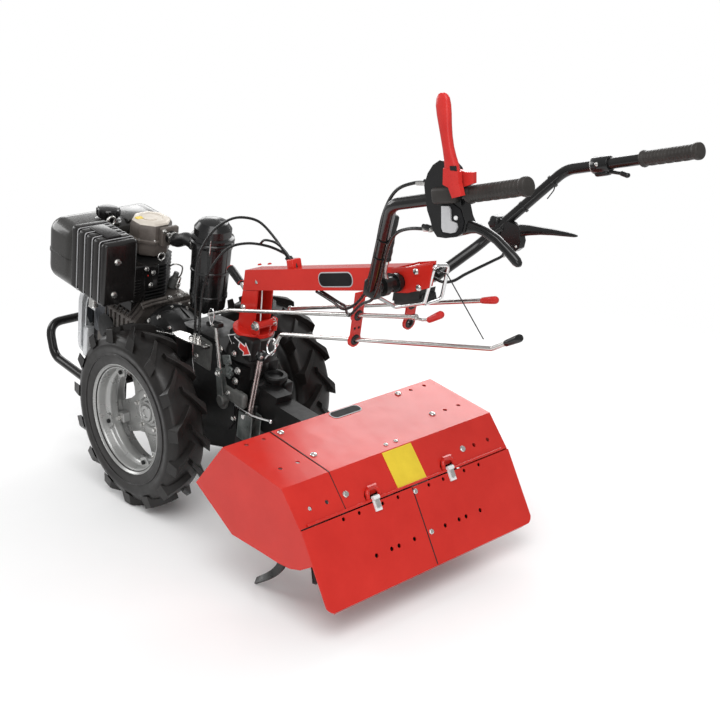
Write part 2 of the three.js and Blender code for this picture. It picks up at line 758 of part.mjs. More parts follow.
// The column is a channel, open to the rear.
function column() {
  const foot = PEDESTAL_TOP + FLANGE_THICKNESS - 2;
  const outline = [
    [COLUMN_FRONT, foot],
    [BEAM_TOP_FRONT[0] + 2, beamBottom(BEAM_TOP_FRONT[0]) - GAP * 2],
    [COLUMN_REAR, beamBottom(COLUMN_REAR) - GAP],
    [COLUMN_REAR, foot],
  ];
  const hollow = [
    [COLUMN_FRONT - 6, foot - 5],
    [BEAM_TOP_FRONT[0] - 4, 500],
    [COLUMN_REAR - 5, 500],
    [COLUMN_REAR - 5, foot - 5],
  ];
  const wall = BEAM_HALF - BEAM_WALL;
  const channel = cut(plateXZ(outline, -BEAM_HALF, BEAM_HALF), plateXZ(hollow, -wall, wall));
  const lever = bar([COLUMN_FRONT - 8, 0, 338], [-98, 0, 360], 4, 10);
  const knob = bar([-102, 0, 358], [-56, 0, 381], 9, 12);
  return joined(channel, swivelFlange(), lever, knob);
}

function beam() {
  const front = BEAM_TOP_FRONT[0];
  const outline = [
    [front, beamTop(front)],
    [BEAM_END, beamTop(BEAM_END)],
    [BEAM_END, beamBottom(BEAM_END)],
    [front + 2, beamBottom(front) + GAP],
  ];
  const lug = box([LUG_X - 8, -12, beamTop(LUG_X) - 8], [LUG_X + 8, 12, beamTop(LUG_X) + 18]);
  return joined(plateXZ(outline, -BEAM_HALF, BEAM_HALF), lug);
}

// ---------------------------------------------------------------- rear clamp and yoke
const CLAMP_HALF = BEAM_HALF + 15;
const CLAMP_REAR = -733;
const CLAMP_CORNER = [-679, 569];
const CLAMP_TAIL = [CLAMP_REAR, 601];
const YOKE_X = HANDLE_FOOT[0];
const YOKE_Z = HANDLE_FOOT[2] + 4;

function rearClamp() {
  const web = BEAM_END - GAP;
  const outline = [
    [web, beamTop(web)],
    [-687, 630],
    [CLAMP_REAR, 654],
    CLAMP_TAIL,
    CLAMP_CORNER,
    [web, beamBottom(web)],
  ];
  const inside = box([CLAMP_REAR - 5, 4 - CLAMP_HALF, 500], [web - 5, CLAMP_HALF - 4, 700]);
  const pivot = bar([YOKE_X, -90, YOKE_Z], [YOKE_X, 90, YOKE_Z], YOKE_RADIUS + PIN_CLEARANCE, 20);
  return cut(plateXZ(outline, -CLAMP_HALF, CLAMP_HALF), inside, pivot);
}

// The rubber block lies against the clamp's lower edge.
function damperBlock() {
  const thickness = 18;
  const seat = 2 * GAP;
  const lowerEdge = (x) => {
    const [from, to] = x > CLAMP_CORNER[0] ? [[BEAM_END, beamBottom(BEAM_END)], CLAMP_CORNER] : [CLAMP_CORNER, CLAMP_TAIL];
    return from[1] + ((to[1] - from[1]) * (x - from[0])) / (to[0] - from[0]) - seat;
  };
  const top = [-640, CLAMP_CORNER[0], -712].map((x) => [x, lowerEdge(x)]);
  const bottom = top.map(([x, z]) => [x, z - thickness]).reverse();
  return plateXZ([...top, ...bottom], -CLAMP_HALF, CLAMP_HALF);
}

// The yoke's ends are coped to the handle tubes.
function yoke() {
  const reach = HANDLE_FOOT[1] - HANDLE_TUBE_RADIUS / 2;
  const notches = [LEFT, RIGHT].map((side) => {
    const foot = vec(mirrored(HANDLE_FOOT, side));
    const run = vec(mirrored(HANDLE_BEND, side)).sub(foot).normalize();
    const [a, b] = [-60, 60].map((d) => foot.clone().addScaledVector(run, d).toArray());
    return bar(a, b, HANDLE_TUBE_RADIUS + GAP, 16);
  });
  return cut(bar([YOKE_X, -reach, YOKE_Z], [YOKE_X, reach, YOKE_Z], YOKE_RADIUS, 16), ...notches);
}

add("steering_column", column(), paint.red);
add("handlebar_beam", beam(), paint.red);
add("rear_clamp", rearClamp(), paint.red);
add("damper_block", damperBlock(), paint.rubber);
add("yoke_tube", yoke(), paint.black);

// ---------------------------------------------------------------- control rods and hangers
const ROD_HOLE = ROD_RADIUS + 2;
const EYE_RADIUS = 17;

const RIGHT_ROD_Y = -(BEAM_HALF + 27);

const RODS = {
  upper: [[-61, 58, 270], [-132, 50, 308], [-704, 30, 523]],
  lower: [[-290, 36, 286], [-304, 36, 314], [-914, 34, 543], [-945, 34, 568]],
  right: [[-230, RIGHT_ROD_Y, 331], [-412, RIGHT_ROD_Y, 411], [-803, RIGHT_ROD_Y, 583]],
};

// Where a run of a rod crosses the plane of a hanger.
function crossing([a, b], x) {
  const t = (x - a[0]) / (b[0] - a[0]);
  return a.map((v, i) => v + (b[i] - v) * t);
}

const HANGERS = {
  front: { x: -540, y: 34, eyes: [crossing(RODS.upper.slice(1), -540), crossing(RODS.lower.slice(1), -540)] },
  rear: { x: -612, y: RIGHT_ROD_Y, eyes: [crossing(RODS.right.slice(1), -612), [-612, RIGHT_ROD_Y, 455]] },
};

// A hanger is a flat bar across the rods, with an eye round each, under a lug on the beam.
function hanger({ x, y, eyes }) {
  const low = Math.min(...eyes.map((eye) => eye[2]));
  const top = beamBottom(x + 2.5) - GAP;
  const plate = joined(
    box([x - 2.5, y - 14, low], [x + 2.5, y + 14, top]),
    box([x - 2.5, Math.min(y, 0), top - 14], [x + 2.5, Math.max(y, 0), top]),
    ...eyes.map(([, ey, ez]) => bar([x - 3, ey, ez], [x + 3, ey, ez], EYE_RADIUS, 16)),
  );
  return cut(plate, ...eyes.map(([, ey, ez]) => bar([x - 9, ey, ez], [x + 9, ey, ez], ROD_HOLE, 12)));
}

// A control rod with its knob.
function rod(points, knobFrom, knobTo) {
  return joined(bentTube(points, 8, ROD_RADIUS, 8, 16), bar(knobFrom, knobTo, 10, 12, 8));
}

function knobBeyond(points, length) {
  const [before, end] = points.slice(-2).map(vec);
  const along = end.clone().sub(before).normalize();
  const from = end.clone().addScaledVector(along, -8);
  return [from.toArray(), end.clone().addScaledVector(along, length).toArray()];
}

// The upper rod ends in a thinner bent wire, which its knob is on.
function upperRod() {
  const wire = [crossing(RODS.upper.slice(1), -690), [-722, 30, 524], [-740, 30, 532]];
  return joined(rod(RODS.upper, [-735, 30, 528], [-777, 30, 562]), bentTube(wire, 5, 3, 8, 8));
}

// The wire guide behind the clamp, with its ends along the beam's sides.
function stirrup() {
  const wire = 4;
  const seat = BEAM_HALF + wire + GAP * 2;
  const side = [
    [-572, seat, 548],
    [-580, seat, 522],
    [-644, seat + 1.5, 517],
    [-719, seat + 1.5, 563],
    [-738, seat + 1.5, 646],
  ];
  return bentTube([...side, ...side.map((p) => mirrored(p, RIGHT)).reverse()], 9, wire, 6, 44);
}

add("rod_hanger_front", hanger(HANGERS.front), paint.red);
add("rod_hanger_rear", hanger(HANGERS.rear), paint.red);
add("control_rod_upper", upperRod(), paint.steel);
add("control_rod_lower", rod(RODS.lower, ...knobBeyond(RODS.lower, 50)), paint.steel);
add("control_rod_right", rod(RODS.right, ...knobBeyond(RODS.right, 50)), paint.steel);
add("wire_stirrup", stirrup(), paint.steel);

// ---------------------------------------------------------------- handles
function handleTube(side) {
  const points = [HANDLE_FOOT, HANDLE_BEND, HANDLE_END].map((p) => mirrored(p, side));
  return bentTube(points, 75, HANDLE_TUBE_RADIUS, 12, 18);
}

const TUBE_BORE = HANDLE_TUBE_RADIUS + 2 * GAP;
const handleEnd = vec(HANDLE_END);
const handleRun = vec(HANDLE_BEND).sub(handleEnd).normalize();
const alongGrip = (distance) => handleEnd.clone().addScaledVector(handleRun, distance).toArray();

function grip(side) {
  const a = mirrored(alongGrip(-5), side);
  const b = mirrored(alongGrip(GRIP_LENGTH), side);
  const [inner, open] = [-2 * GAP, GRIP_LENGTH + 20].map((d) => mirrored(alongGrip(d), side));
  return cut(bar(a, b, GRIP_RADIUS, 14), bar(inner, open, TUBE_BORE, 12));
}

[["left", LEFT], ["right", RIGHT]].forEach(([name, side]) => {
  add(`handle_tube_${name}`, handleTube(side), paint.black);
  add(`grip_${name}`, grip(side), paint.rubber);
});

// ---------------------------------------------------------------- hand controls
const tubeTool = (side, from, to) =>
  bar(mirrored(alongGrip(from), side), mirrored(alongGrip(to), side), TUBE_BORE, 12);
const BRACKET_WIDTH = 2 * HANDLE_TUBE_RADIUS + 4;
const BRACKET_Y = (HANDLE_BEND[1] + HANDLE_END[1] + 1) / 2 - BRACKET_WIDTH / 2;
const RED_LEVER_WIDTH = 16;

function clutchBracket() {
  const outline = [
    [-884, 890],
    [-892, 930],
    [-918, 954],
    [-940, 950],
    [-962, 925],
    [-968, 880],
    [-977, 857],
    [-965, 830],
    [-916, 815],
    [-893, 840],
  ];
  const housing = plateXZ(outline, BRACKET_Y, BRACKET_Y + BRACKET_WIDTH);
  return cut(joined(housing, brakeLever()), tubeTool(LEFT, 100, 290));
}

function clutchLever() {
  const outline = [
    [-947, 903],
    [-930, 968],
    [-908, 1010],
    [-886, 1060],
    [-900, 1072],
    [-917, 1066],
    [-936, 1016],
    [-962, 966],
    [-1000, 964],
    [-1003, 939],
    [-975, 935],
    [-966, 905],
  ];
  const inner = BRACKET_Y + BRACKET_WIDTH + GAP;
  return plateXZ(outline, inner, inner + RED_LEVER_WIDTH);
}

function brakeLever() {
  const outline = [
    [-960, 872],
    [-1002, 876],
    [-1040, 872],
    [-1080, 850],
    [-1106, 828],
    [-1094, 817],
    [-1062, 838],
    [-1030, 855],
    [-990, 856],
    [-960, 852],
  ];
  return plateXZ(outline, BRACKET_Y + 6, BRACKET_Y + 22);
}

function tubeRun(side, from, to) {
  const foot = vec(mirrored(HANDLE_FOOT, side));
  const run = vec(mirrored(HANDLE_BEND, side)).sub(foot).normalize();
  return bar(...[from, to].map((d) => foot.clone().addScaledVector(run, d).toArray()), TUBE_BORE, 12);
}

const RIGHT_BRACKET_Y = 180; // where the bracket's middle lies, to the right

function rightBracket() {
  const outline = [
    [-690, 691],
    [-712, 724],
    [-744, 724],
    [-785, 714],
    [-783, 668],
    [-768, 641],
    [-717, 642],
  ];
  const lever = [
    [-775, 706],
    [-840, 729],
    [-915, 741],
    [-840, 715],
    [-775, 686],
  ];
  const half = HANDLE_TUBE_RADIUS + 4.5;
  const housing = plateXZ(outline, -RIGHT_BRACKET_Y - half, half - RIGHT_BRACKET_Y);
  const blade = plateXZ(lever, -RIGHT_BRACKET_Y - 7, 7 - RIGHT_BRACKET_Y);
  return cut(joined(housing, blade), tubeRun(RIGHT, 30, 260));
}

function throttleClamp() {
  const ring = bar(mirrored(alongGrip(180), RIGHT), mirrored(alongGrip(232), RIGHT), 19, 14);
  const thumb = box([-925, -262, 842], [-880, -254, 868]);
  return cut(joined(ring, thumb), tubeTool(RIGHT, 100, 280));
}

// The lever that locks the handles' height, on a collar round the yoke.
function heightLock() {
  const y = 88;
  const collar = bar([YOKE_X, y - 7, YOKE_Z], [YOKE_X, y + 7, YOKE_Z], YOKE_RADIUS + 7, 16);
  const bore = bar([YOKE_X, y - 12, YOKE_Z], [YOKE_X, y + 12, YOKE_Z], YOKE_RADIUS + GAP, 16);
  const lever = joined(
    collar,
    bar([YOKE_X, y, YOKE_Z + 12], [YOKE_X + 1, y, 645], 6, 10),
    bar([YOKE_X + 1, y, 640], [YOKE_X - 5, y, 741], 9, 12),
  );
  return cut(lever, bore);
}

add("clutch_bracket", clutchBracket(), paint.black);
add("clutch_lever", clutchLever(), paint.red);
add("right_bracket", rightBracket(), paint.black);
add("throttle_clamp", throttleClamp(), paint.black);
add("height_lock_lever", heightLock(), paint.black);

// ---------------------------------------------------------------- control cables
// Each cable is held at both ends, and its route is a list of points along it.
const CABLES = {
  clutch_cable_front: [
    [-68, 101, 213],
    [-52, 93, 297],
    [-31, 84, 353],
    [-21, 70, 412],
    [-39, 50, 474],
    [-78, 36, 516],
    [-119, 25, 536],
    [-169, 15, 540],
    [-219, 8, 517],
    [-258, 5, 491],
    [-273.5, 5, 482],
  ],
  brake_cable_front: [
    [-84, 101, 213],
    [-60, 84, 296],
    [-53, 74, 347],
    [-64, 59, 400],
    [-94, 42, 452],
    [-141, 25, 479],
    [-193, 6, 488],
    [-240, -5, 486],
    [-274.5, -6, 480],
  ],
  clutch_cable_rear: [
    [-385, 16, 450.8],
    [-455, 30, 457],
    [-516, 56, 470],
    [-577, 84, 511],
    [-620, 104, 558],
    [-634, 117, 586],
    [-658, 134.5, 620],
    [-713, 184, 715],
    [-763, 229, 802],
    [-805, 250, 862],
    [-845, 250, 890],
    [-884.3, 249.5, 903],
  ],
  brake_cable_rear: [
    [-385, 4, 450.8],
    [-455, 12, 452],
    [-490, 26, 460],
    [-520, 48, 462],
    [-545, 67, 469],
    [-577, 92, 490],
    [-625, 113, 538],
    [-656, 121, 560],
    [-677, 131, 587],
    [-698, 146, 625],
    [-727, 172, 675],
    [-759, 200, 730],
    [-796, 224, 773],
    [-845, 242, 803],
    [-904.6, 249.5, 824],
  ],
  brake_cable_right: [
    [-632.5, -12, 599],
    [-653, -12, 609],
    [-700, -14, 625],
    [-728, -16, 634],
    [-750, -26, 639],
    [-760, -60, 641],
    [-752, -120, 632],
    [-742, -160, 621],
    [-737, -178, 628],
    [-736, -180, 640.8],
  ],
};

Object.entries(CABLES).forEach(([name, points]) => {
  add(name, smoothTube(points, CABLE_RADIUS, 8, 26), paint.rubber);
});

// ---------------------------------------------------------------- frame
// The origin is the centre of the whole machine's footprint, on the ground.
function standOnOrigin() {
  machine.updateMatrixWorld(true);
  const bounds = new THREE.Box3().setFromObject(machine, true);
  const centre = bounds.getCenter(new THREE.Vector3());
  machine.position.set(-centre.x, -centre.y, -bounds.min.z);
}

standOnOrigin();

const tractor = new THREE.Group();
tractor.add(machine);

export default tractor;
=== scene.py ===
"""The looks of a walking tractor with a rear tiller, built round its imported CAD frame."""
import json
from math import atan2, copysign, cos, pi, radians, sin, tan

import bmesh
import bpy
from mathutils import Matrix, Vector
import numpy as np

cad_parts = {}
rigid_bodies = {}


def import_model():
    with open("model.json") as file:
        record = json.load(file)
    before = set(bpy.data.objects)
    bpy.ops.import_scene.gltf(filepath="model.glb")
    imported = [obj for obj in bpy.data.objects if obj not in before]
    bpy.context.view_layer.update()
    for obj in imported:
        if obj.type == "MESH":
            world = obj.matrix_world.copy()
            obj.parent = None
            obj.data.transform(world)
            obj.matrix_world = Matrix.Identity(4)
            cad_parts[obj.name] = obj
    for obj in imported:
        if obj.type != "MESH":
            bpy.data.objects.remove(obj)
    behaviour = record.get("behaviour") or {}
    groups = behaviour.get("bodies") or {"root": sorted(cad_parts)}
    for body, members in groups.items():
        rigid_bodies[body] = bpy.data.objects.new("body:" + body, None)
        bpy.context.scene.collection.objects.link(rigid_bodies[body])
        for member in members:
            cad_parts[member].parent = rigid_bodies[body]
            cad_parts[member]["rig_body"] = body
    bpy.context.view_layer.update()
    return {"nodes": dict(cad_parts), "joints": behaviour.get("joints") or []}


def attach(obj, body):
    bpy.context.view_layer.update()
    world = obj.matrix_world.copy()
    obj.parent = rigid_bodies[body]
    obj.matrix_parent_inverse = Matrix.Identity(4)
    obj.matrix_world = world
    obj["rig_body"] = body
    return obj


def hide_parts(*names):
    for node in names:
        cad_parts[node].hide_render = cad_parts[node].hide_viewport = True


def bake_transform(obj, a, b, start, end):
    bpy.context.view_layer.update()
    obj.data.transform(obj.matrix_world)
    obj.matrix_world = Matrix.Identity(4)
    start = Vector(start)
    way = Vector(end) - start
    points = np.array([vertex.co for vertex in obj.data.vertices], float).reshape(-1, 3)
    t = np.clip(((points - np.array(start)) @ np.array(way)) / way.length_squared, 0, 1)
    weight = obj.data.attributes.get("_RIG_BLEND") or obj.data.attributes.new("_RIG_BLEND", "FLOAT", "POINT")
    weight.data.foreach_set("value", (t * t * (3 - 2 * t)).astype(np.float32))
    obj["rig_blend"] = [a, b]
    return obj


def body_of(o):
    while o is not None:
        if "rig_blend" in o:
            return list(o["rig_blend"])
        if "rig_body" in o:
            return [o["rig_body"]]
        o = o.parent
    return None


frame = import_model()
NODES = frame["nodes"]
JOINTS = {joint["name"]: joint for joint in frame["joints"]}
BODY_OF = {name: (body_of(node) or ["root"])[0] for name, node in NODES.items()}
X, Y, Z = Vector((1, 0, 0)), Vector((0, 1, 0)), Vector((0, 0, 1))

# ---------------------------------------------------------------- the machine's own frame
# The chassis is drawn level, in millimetres from the wheel axle, and tipped back by the pitch.
AXLE = Vector(JOINTS["wheel_left_spin"]["pos_m"])
AXLE.y = 0
TIP_SIN = -JOINTS["handlebar_swivel"]["axis"][0]
TIP_COS = JOINTS["handlebar_swivel"]["axis"][2]
SCALE = Matrix.Scale(0.001, 4)
LEVEL = Matrix.Translation(AXLE) @ SCALE
TIP = Matrix(((TIP_COS, 0, -TIP_SIN, 0), (0, 1, 0, 0), (TIP_SIN, 0, TIP_COS, 0), (0, 0, 0, 1)))
CHASSIS = Matrix.Translation(AXLE) @ TIP @ SCALE

# ---------------------------------------------------------------- camera
CAMERA_AT = (-2.2382, 1.8798, 1.4354)
CAMERA_YAW = radians(-43.326)
CAMERA_DOWN = radians(19.247)
CAMERA_ROLL = radians(0.518)
CAMERA_LENS = 65.51
SENSOR_WIDTH = 36
VIEW_REACH = 100


def add_object(name, data):
    thing = bpy.data.objects.new(name, data)
    bpy.context.scene.collection.objects.link(thing)
    return thing


def make_camera():
    reach = cos(CAMERA_DOWN)
    ahead = Vector((cos(CAMERA_YAW) * reach, sin(CAMERA_YAW) * reach, -sin(CAMERA_DOWN)))
    level_right = Vector((sin(CAMERA_YAW), -cos(CAMERA_YAW), 0))
    level_up = level_right.cross(ahead)
    right = cos(CAMERA_ROLL) * level_right + sin(CAMERA_ROLL) * level_up
    up = cos(CAMERA_ROLL) * level_up - sin(CAMERA_ROLL) * level_right
    data = bpy.data.cameras.new("camera")
    data.lens = CAMERA_LENS
    data.sensor_width = SENSOR_WIDTH
    data.clip_end = VIEW_REACH
    camera = add_object("camera", data)
    turn = Matrix((right, up, -ahead)).transposed().to_4x4()
    camera.matrix_world = Matrix.Translation(CAMERA_AT) @ turn
    bpy.context.scene.camera = camera


make_camera()


# ---------------------------------------------------------------- materials
NOISE_LOW, NOISE_HIGH = 0.3, 0.7  # nearly all of a noise lies between these


def node_material(name):
    material = bpy.data.materials.new(name)
    material.use_nodes = True
    tree = material.node_tree
    return material, tree, tree.nodes["Principled BSDF"]


def wire(tree, node, inputs):
    """Sets a node's inputs to values, or links them to outputs; a name makes a new node."""
    if isinstance(node, str):
        node = tree.nodes.new("ShaderNode" + node)
    for label, value in inputs.items():
        if isinstance(value, bpy.types.NodeSocket):
            tree.links.new(value, node.inputs[label])
        else:
            node.inputs[label].default_value = value
    return node


def noise(tree, scale, detail, roughness):
    place = wire(tree, "TexCoord", {}).outputs["Object"]
    texture = {"Vector": place, "Scale": scale, "Detail": detail, "Roughness": roughness}
    return wire(tree, "TexNoise", texture).outputs["Fac"]


def blend_of(tree, value, dark, light):
    """A colour between two tones, which may be given as plain greys."""
    node = wire(tree, "ValToRGB", {"Fac": value})
    for stop, at, tone in zip(node.color_ramp.elements, (NOISE_LOW, NOISE_HIGH), (dark, light)):
        stop.position = at
        stop.color = (*tone, 1) if isinstance(tone, tuple) else (tone, tone, tone, 1)
    return node.outputs["Color"]


def finish(name, dark, light, smooth, rough, grain, relief_scale, relief_depth, specular, metallic, coat):
    """A finish whose colour and roughness vary a little, with a fine relief."""
    material, tree, shader = node_material(name)
    colour = blend_of(tree, noise(tree, grain, 5, 0.65), dark, light)
    spread = wire(tree, "MapRange", {
        "Value": noise(tree, grain * 3, 4, 0.6), "From Min": NOISE_LOW, "From Max": NOISE_HIGH,
        "To Min": smooth, "To Max": rough})
    height = noise(tree, relief_scale, 3, 0.6)
    relief = wire(tree, "Bump", {"Height": height, "Strength": relief_depth, "Distance": 0.0002})
    wire(tree, shader, {
        "Base Color": colour, "Roughness": spread.outputs["Result"], "Metallic": metallic,
        "Coat Weight": coat, "Coat Roughness": 0.08, "Specular IOR Level": specular,
        "Normal": relief.outputs["Normal"]})
    return material


# each look: name, dark and light tone, roughness from and to, grain, relief scale and strength, specular
FINISHES = {
    "red": ("red_enamel", (0.53, 0.020, 0.013), (0.60, 0.027, 0.018), 0.16, 0.26, 9, 150, 0.03, 0.31),
    "red_plastic": ("red_plastic", (0.50, 0.022, 0.020), (0.60, 0.034, 0.028), 0.24, 0.36, 20, 900, 0.04,
        0.3),
    "black": ("black_enamel", (0.006, 0.0055, 0.0055), (0.010, 0.0095, 0.0095), 0.14, 0.24, 12, 200, 0.03,
        0.45),
    "black_satin": ("black_satin", (0.006, 0.0055, 0.0055), (0.012, 0.0112, 0.011), 0.14, 0.24, 10, 160,
        0.02, 0.45),
    "tank": ("tank_enamel", (0.016, 0.015, 0.0135), (0.026, 0.0245, 0.022), 0.2, 0.3, 10, 160, 0.02, 0.6),
    "muffler": ("muffler_black", (0.007, 0.0062, 0.006), (0.014, 0.0125, 0.012), 0.15, 0.26, 16, 160, 0.02,
        0.5),
    "cast_black": ("black_casting", 0.005, 0.012, 0.32, 0.5, 26, 420, 0.22, 0.28),
    "cast_dark": ("dark_alloy_casting", (0.06, 0.053, 0.048), (0.15, 0.133, 0.122), 0.24, 0.38, 34, 420,
        0.3, 0.5),
    # Grey castings; the same grey also paints the highlights on the cowl's fin edges.
    "cast_grey": ("grey_casting_and_fin_highlight", (0.07, 0.072, 0.068), (0.14, 0.142, 0.136), 0.36, 0.5, 34, 420, 0.3, 0.4),
    "fin_grey": ("fin_grey", (0.035, 0.038, 0.045), (0.075, 0.08, 0.09), 0.3, 0.42, 30, 420, 0.15, 0.5),
    "cast_beige": ("rocker_casting", (0.085, 0.072, 0.063), (0.165, 0.142, 0.126), 0.3, 0.45, 26, 500, 0.2,
        0.4),
    "cast_pale": ("rocker_top", (0.56, 0.50, 0.43), (0.72, 0.66, 0.58), 0.3, 0.42, 22, 400, 0.15, 0.4),
    "alloy": ("shroud_alloy", (0.66, 0.67, 0.68), (0.80, 0.81, 0.82), 0.24, 0.36, 8, 300, 0.05, 0.5),
    "rim": ("rim_silver", (0.34, 0.342, 0.335), (0.47, 0.472, 0.462), 0.24, 0.34, 6, 120, 0.01, 0.5),
    "galvanised": ("galvanised_plate", (0.11, 0.125, 0.122), (0.26, 0.28, 0.27), 0.26, 0.42, 46, 300, 0.05,
        0.5),
    "zinc": ("zinc_plate", (0.58, 0.57, 0.55), (0.76, 0.75, 0.73), 0.14, 0.26, 40, 200, 0.01, 0.5),
    "chrome": ("bright_wire", 0.76, 0.88, 0.08, 0.16, 30, 200, 0.005, 0.5),
    "pink_zinc": ("lever_zinc", (0.46, 0.36, 0.35), (0.70, 0.60, 0.58), 0.16, 0.28, 30, 200, 0.01, 0.5),
    "tyre": ("tyre_rubber", (0.006, 0.0052, 0.0048), (0.016, 0.014, 0.013), 0.3, 0.46, 22, 420, 0.2, 0.38),
    "rubber": ("grip_rubber", 0.006, 0.012, 0.34, 0.5, 40, 700, 0.1, 0.4),
    "grip": ("handle_grip", (0.022, 0.019, 0.017), (0.036, 0.032, 0.029), 0.4, 0.55, 40, 700, 0.06, 0.35),
    "cable": ("cable_sheath", 0.005, 0.009, 0.2, 0.32, 40, 400, 0.02, 0.45),
    "plastic": ("black_plastic", 0.005, (0.010, 0.010, 0.0105), 0.14, 0.26, 24, 700, 0.03, 0.5),
    "iron": ("tine_black", 0.008, (0.02, 0.019, 0.018), 0.24, 0.42, 30, 380, 0.15, 0.5),
    "yellow": ("yellow_plate", (0.72, 0.52, 0.02), (0.82, 0.60, 0.03), 0.35, 0.5, 20, 300, 0.04, 0.5),
    "plate": ("dark_plate", (0.008, 0.008, 0.009), (0.014, 0.014, 0.015), 0.5, 0.6, 20, 300, 0.04, 0.15),
    "white": ("white_trim", 0.72, 0.80, 0.4, 0.5, 20, 300, 0.03, 0.5),
    # Grey rims and inserts; the same grey also paints the edge highlights along the muffler's band seams.
    "border": ("grey_trim_and_seam_highlight", (0.40, 0.40, 0.41), (0.50, 0.50, 0.51), 0.3, 0.4, 20, 300, 0.04, 0.5),
    # Near-black painted shade: it fills holes, slots, gaps and seams in place of the shade inside them; the
    # hidden cutters use it too.
    "void": ("painted_shade_black", 0.003, 0.006, 0.7, 0.9, 20, 300, 0.05, 0.5),
}
METALLIC = {"cast_dark": 0.5, "cast_grey": 0.2, "fin_grey": 0.1, "cast_beige": 0.15, "cast_pale": 0.05,
            "alloy": 0.4, "rim": 0.5, "galvanised": 0.7, "zinc": 0.95, "chrome": 1.0, "pink_zinc": 0.85,
            "iron": 0.3}
COAT = {"tank": 0.35}
MAT = {look: finish(*row, METALLIC.get(look, 0), COAT.get(look, 0)) for look, row in FINISHES.items()}

NODE_LOOKS = {
    "red": "tiller_hood hood_extension flap_left flap_right steering_column handlebar_beam rear_clamp "
           "rod_hanger_front rod_hanger_rear",
    "red_plastic": "clutch_lever",
    "black": "front_bumper yoke_tube handle_tube_left handle_tube_right engine_cradle",
    "black_satin": "cylinder_cowl",
    "tank": "fuel_tank",
    "muffler": "muffler",
    "cast_black": "gearbox_case clutch_bell tiller_hitch tiller_gear_case",
    "cast_dark": "engine_crankcase",
    "cast_beige": "rocker_cover",
    "alloy": "blower_shroud",
    "rim": "rim_left rim_right wheel_centre_left wheel_centre_right",
    "zinc": "clutch_arm brake_link hitch_lever control_rod_upper control_rod_lower control_rod_right",
    "chrome": "wire_stirrup",
    "tyre": "tyre_left tyre_right",
    "rubber": "damper_block grip_left grip_right intake_elbow",
    "plastic": "recoil_starter fuel_cap air_cleaner clutch_bracket right_bracket throttle_clamp "
               "height_lock_lever",
    "cable": "clutch_cable_front brake_cable_front clutch_cable_rear brake_cable_rear brake_cable_right",
    "iron": "rotor_shaft tines_outer_left tines_inner_left tines_outer_right tines_inner_right",
}
for look, names in NODE_LOOKS.items():
    for name in names.split():
        NODES[name].data.materials.clear()
        NODES[name].data.materials.append(MAT[look])


# ---------------------------------------------------------------- shapes, in machine millimetres
def about_y(degrees):
    return Matrix.Rotation(radians(degrees), 3, "Y")


def spokes(count, start=0.0):
    """Angles evenly round a circle."""
    return [start + 2 * pi * i / count for i in range(count)]


def frame_about(axis):
    """Two unit vectors square to the axis, so that the three make a right-handed frame."""
    across = axis.orthogonal().normalized() if abs(axis.z) > 0.99 else Z.cross(axis).normalized()
    return across, axis.cross(across)


def ring(centre, u, v, angles, radius):
    return [centre + (u * cos(a) + v * sin(a)) * radius for a in angles]


def closed_ring(centre, u, v, radius, count=24):
    return ring(Vector(centre), u, v, [*spokes(count), 2 * pi], radius)


def rounded_outline(low, high, radius, steps=6):
    """A rectangle in a plane, with rounded corners."""
    points = []
    corners = [(high[0], high[1], 0), (low[0], high[1], 90), (low[0], low[1], 180), (high[0], low[1], 270)]
    for cx, cy, start in corners:
        inx = cx - copysign(radius, cx - (low[0] + high[0]) / 2)
        iny = cy - copysign(radius, cy - (low[1] + high[1]) / 2)
        turns = [radians(start + 90 * i / steps) for i in range(steps + 1)]
        points += [(inx + radius * cos(turn), iny + radius * sin(turn)) for turn in turns]
    return points


def curve_through(points, steps):
    """A smooth run through the points."""
    knots = [Vector(p) for p in points]
    ends = [knots[0] * 2 - knots[1], *knots, knots[-1] * 2 - knots[-2]]
    run = []
    for a, b, c, d in zip(ends, ends[1:], ends[2:], ends[3:]):
        for t in (step / steps for step in range(steps)):
            curved = (2 * a - 5 * b + 4 * c - d) * t * t + (3 * b - a - 3 * c + d) * t ** 3
            run.append(0.5 * (2 * b + (c - a) * t + curved))
    return [*run, knots[-1]]


def bent_through(points, radius, steps=6):
    """Straight runs whose corners are rounded to a bend radius."""
    knots = [Vector(p) for p in points]
    run = [knots[0]]
    for before, corner, after in zip(knots, knots[1:], knots[2:]):
        back, ahead = before - corner, after - corner
        reach = min(radius / tan(back.angle(ahead) / 2), back.length * 0.49, ahead.length * 0.49)
        start, end = corner + back.normalized() * reach, corner + ahead.normalized() * reach
        for t in (i / steps for i in range(steps + 1)):
            run.append(start * (1 - t) ** 2 + corner * 2 * t * (1 - t) + end * t * t)
    return [*run, knots[-1]]


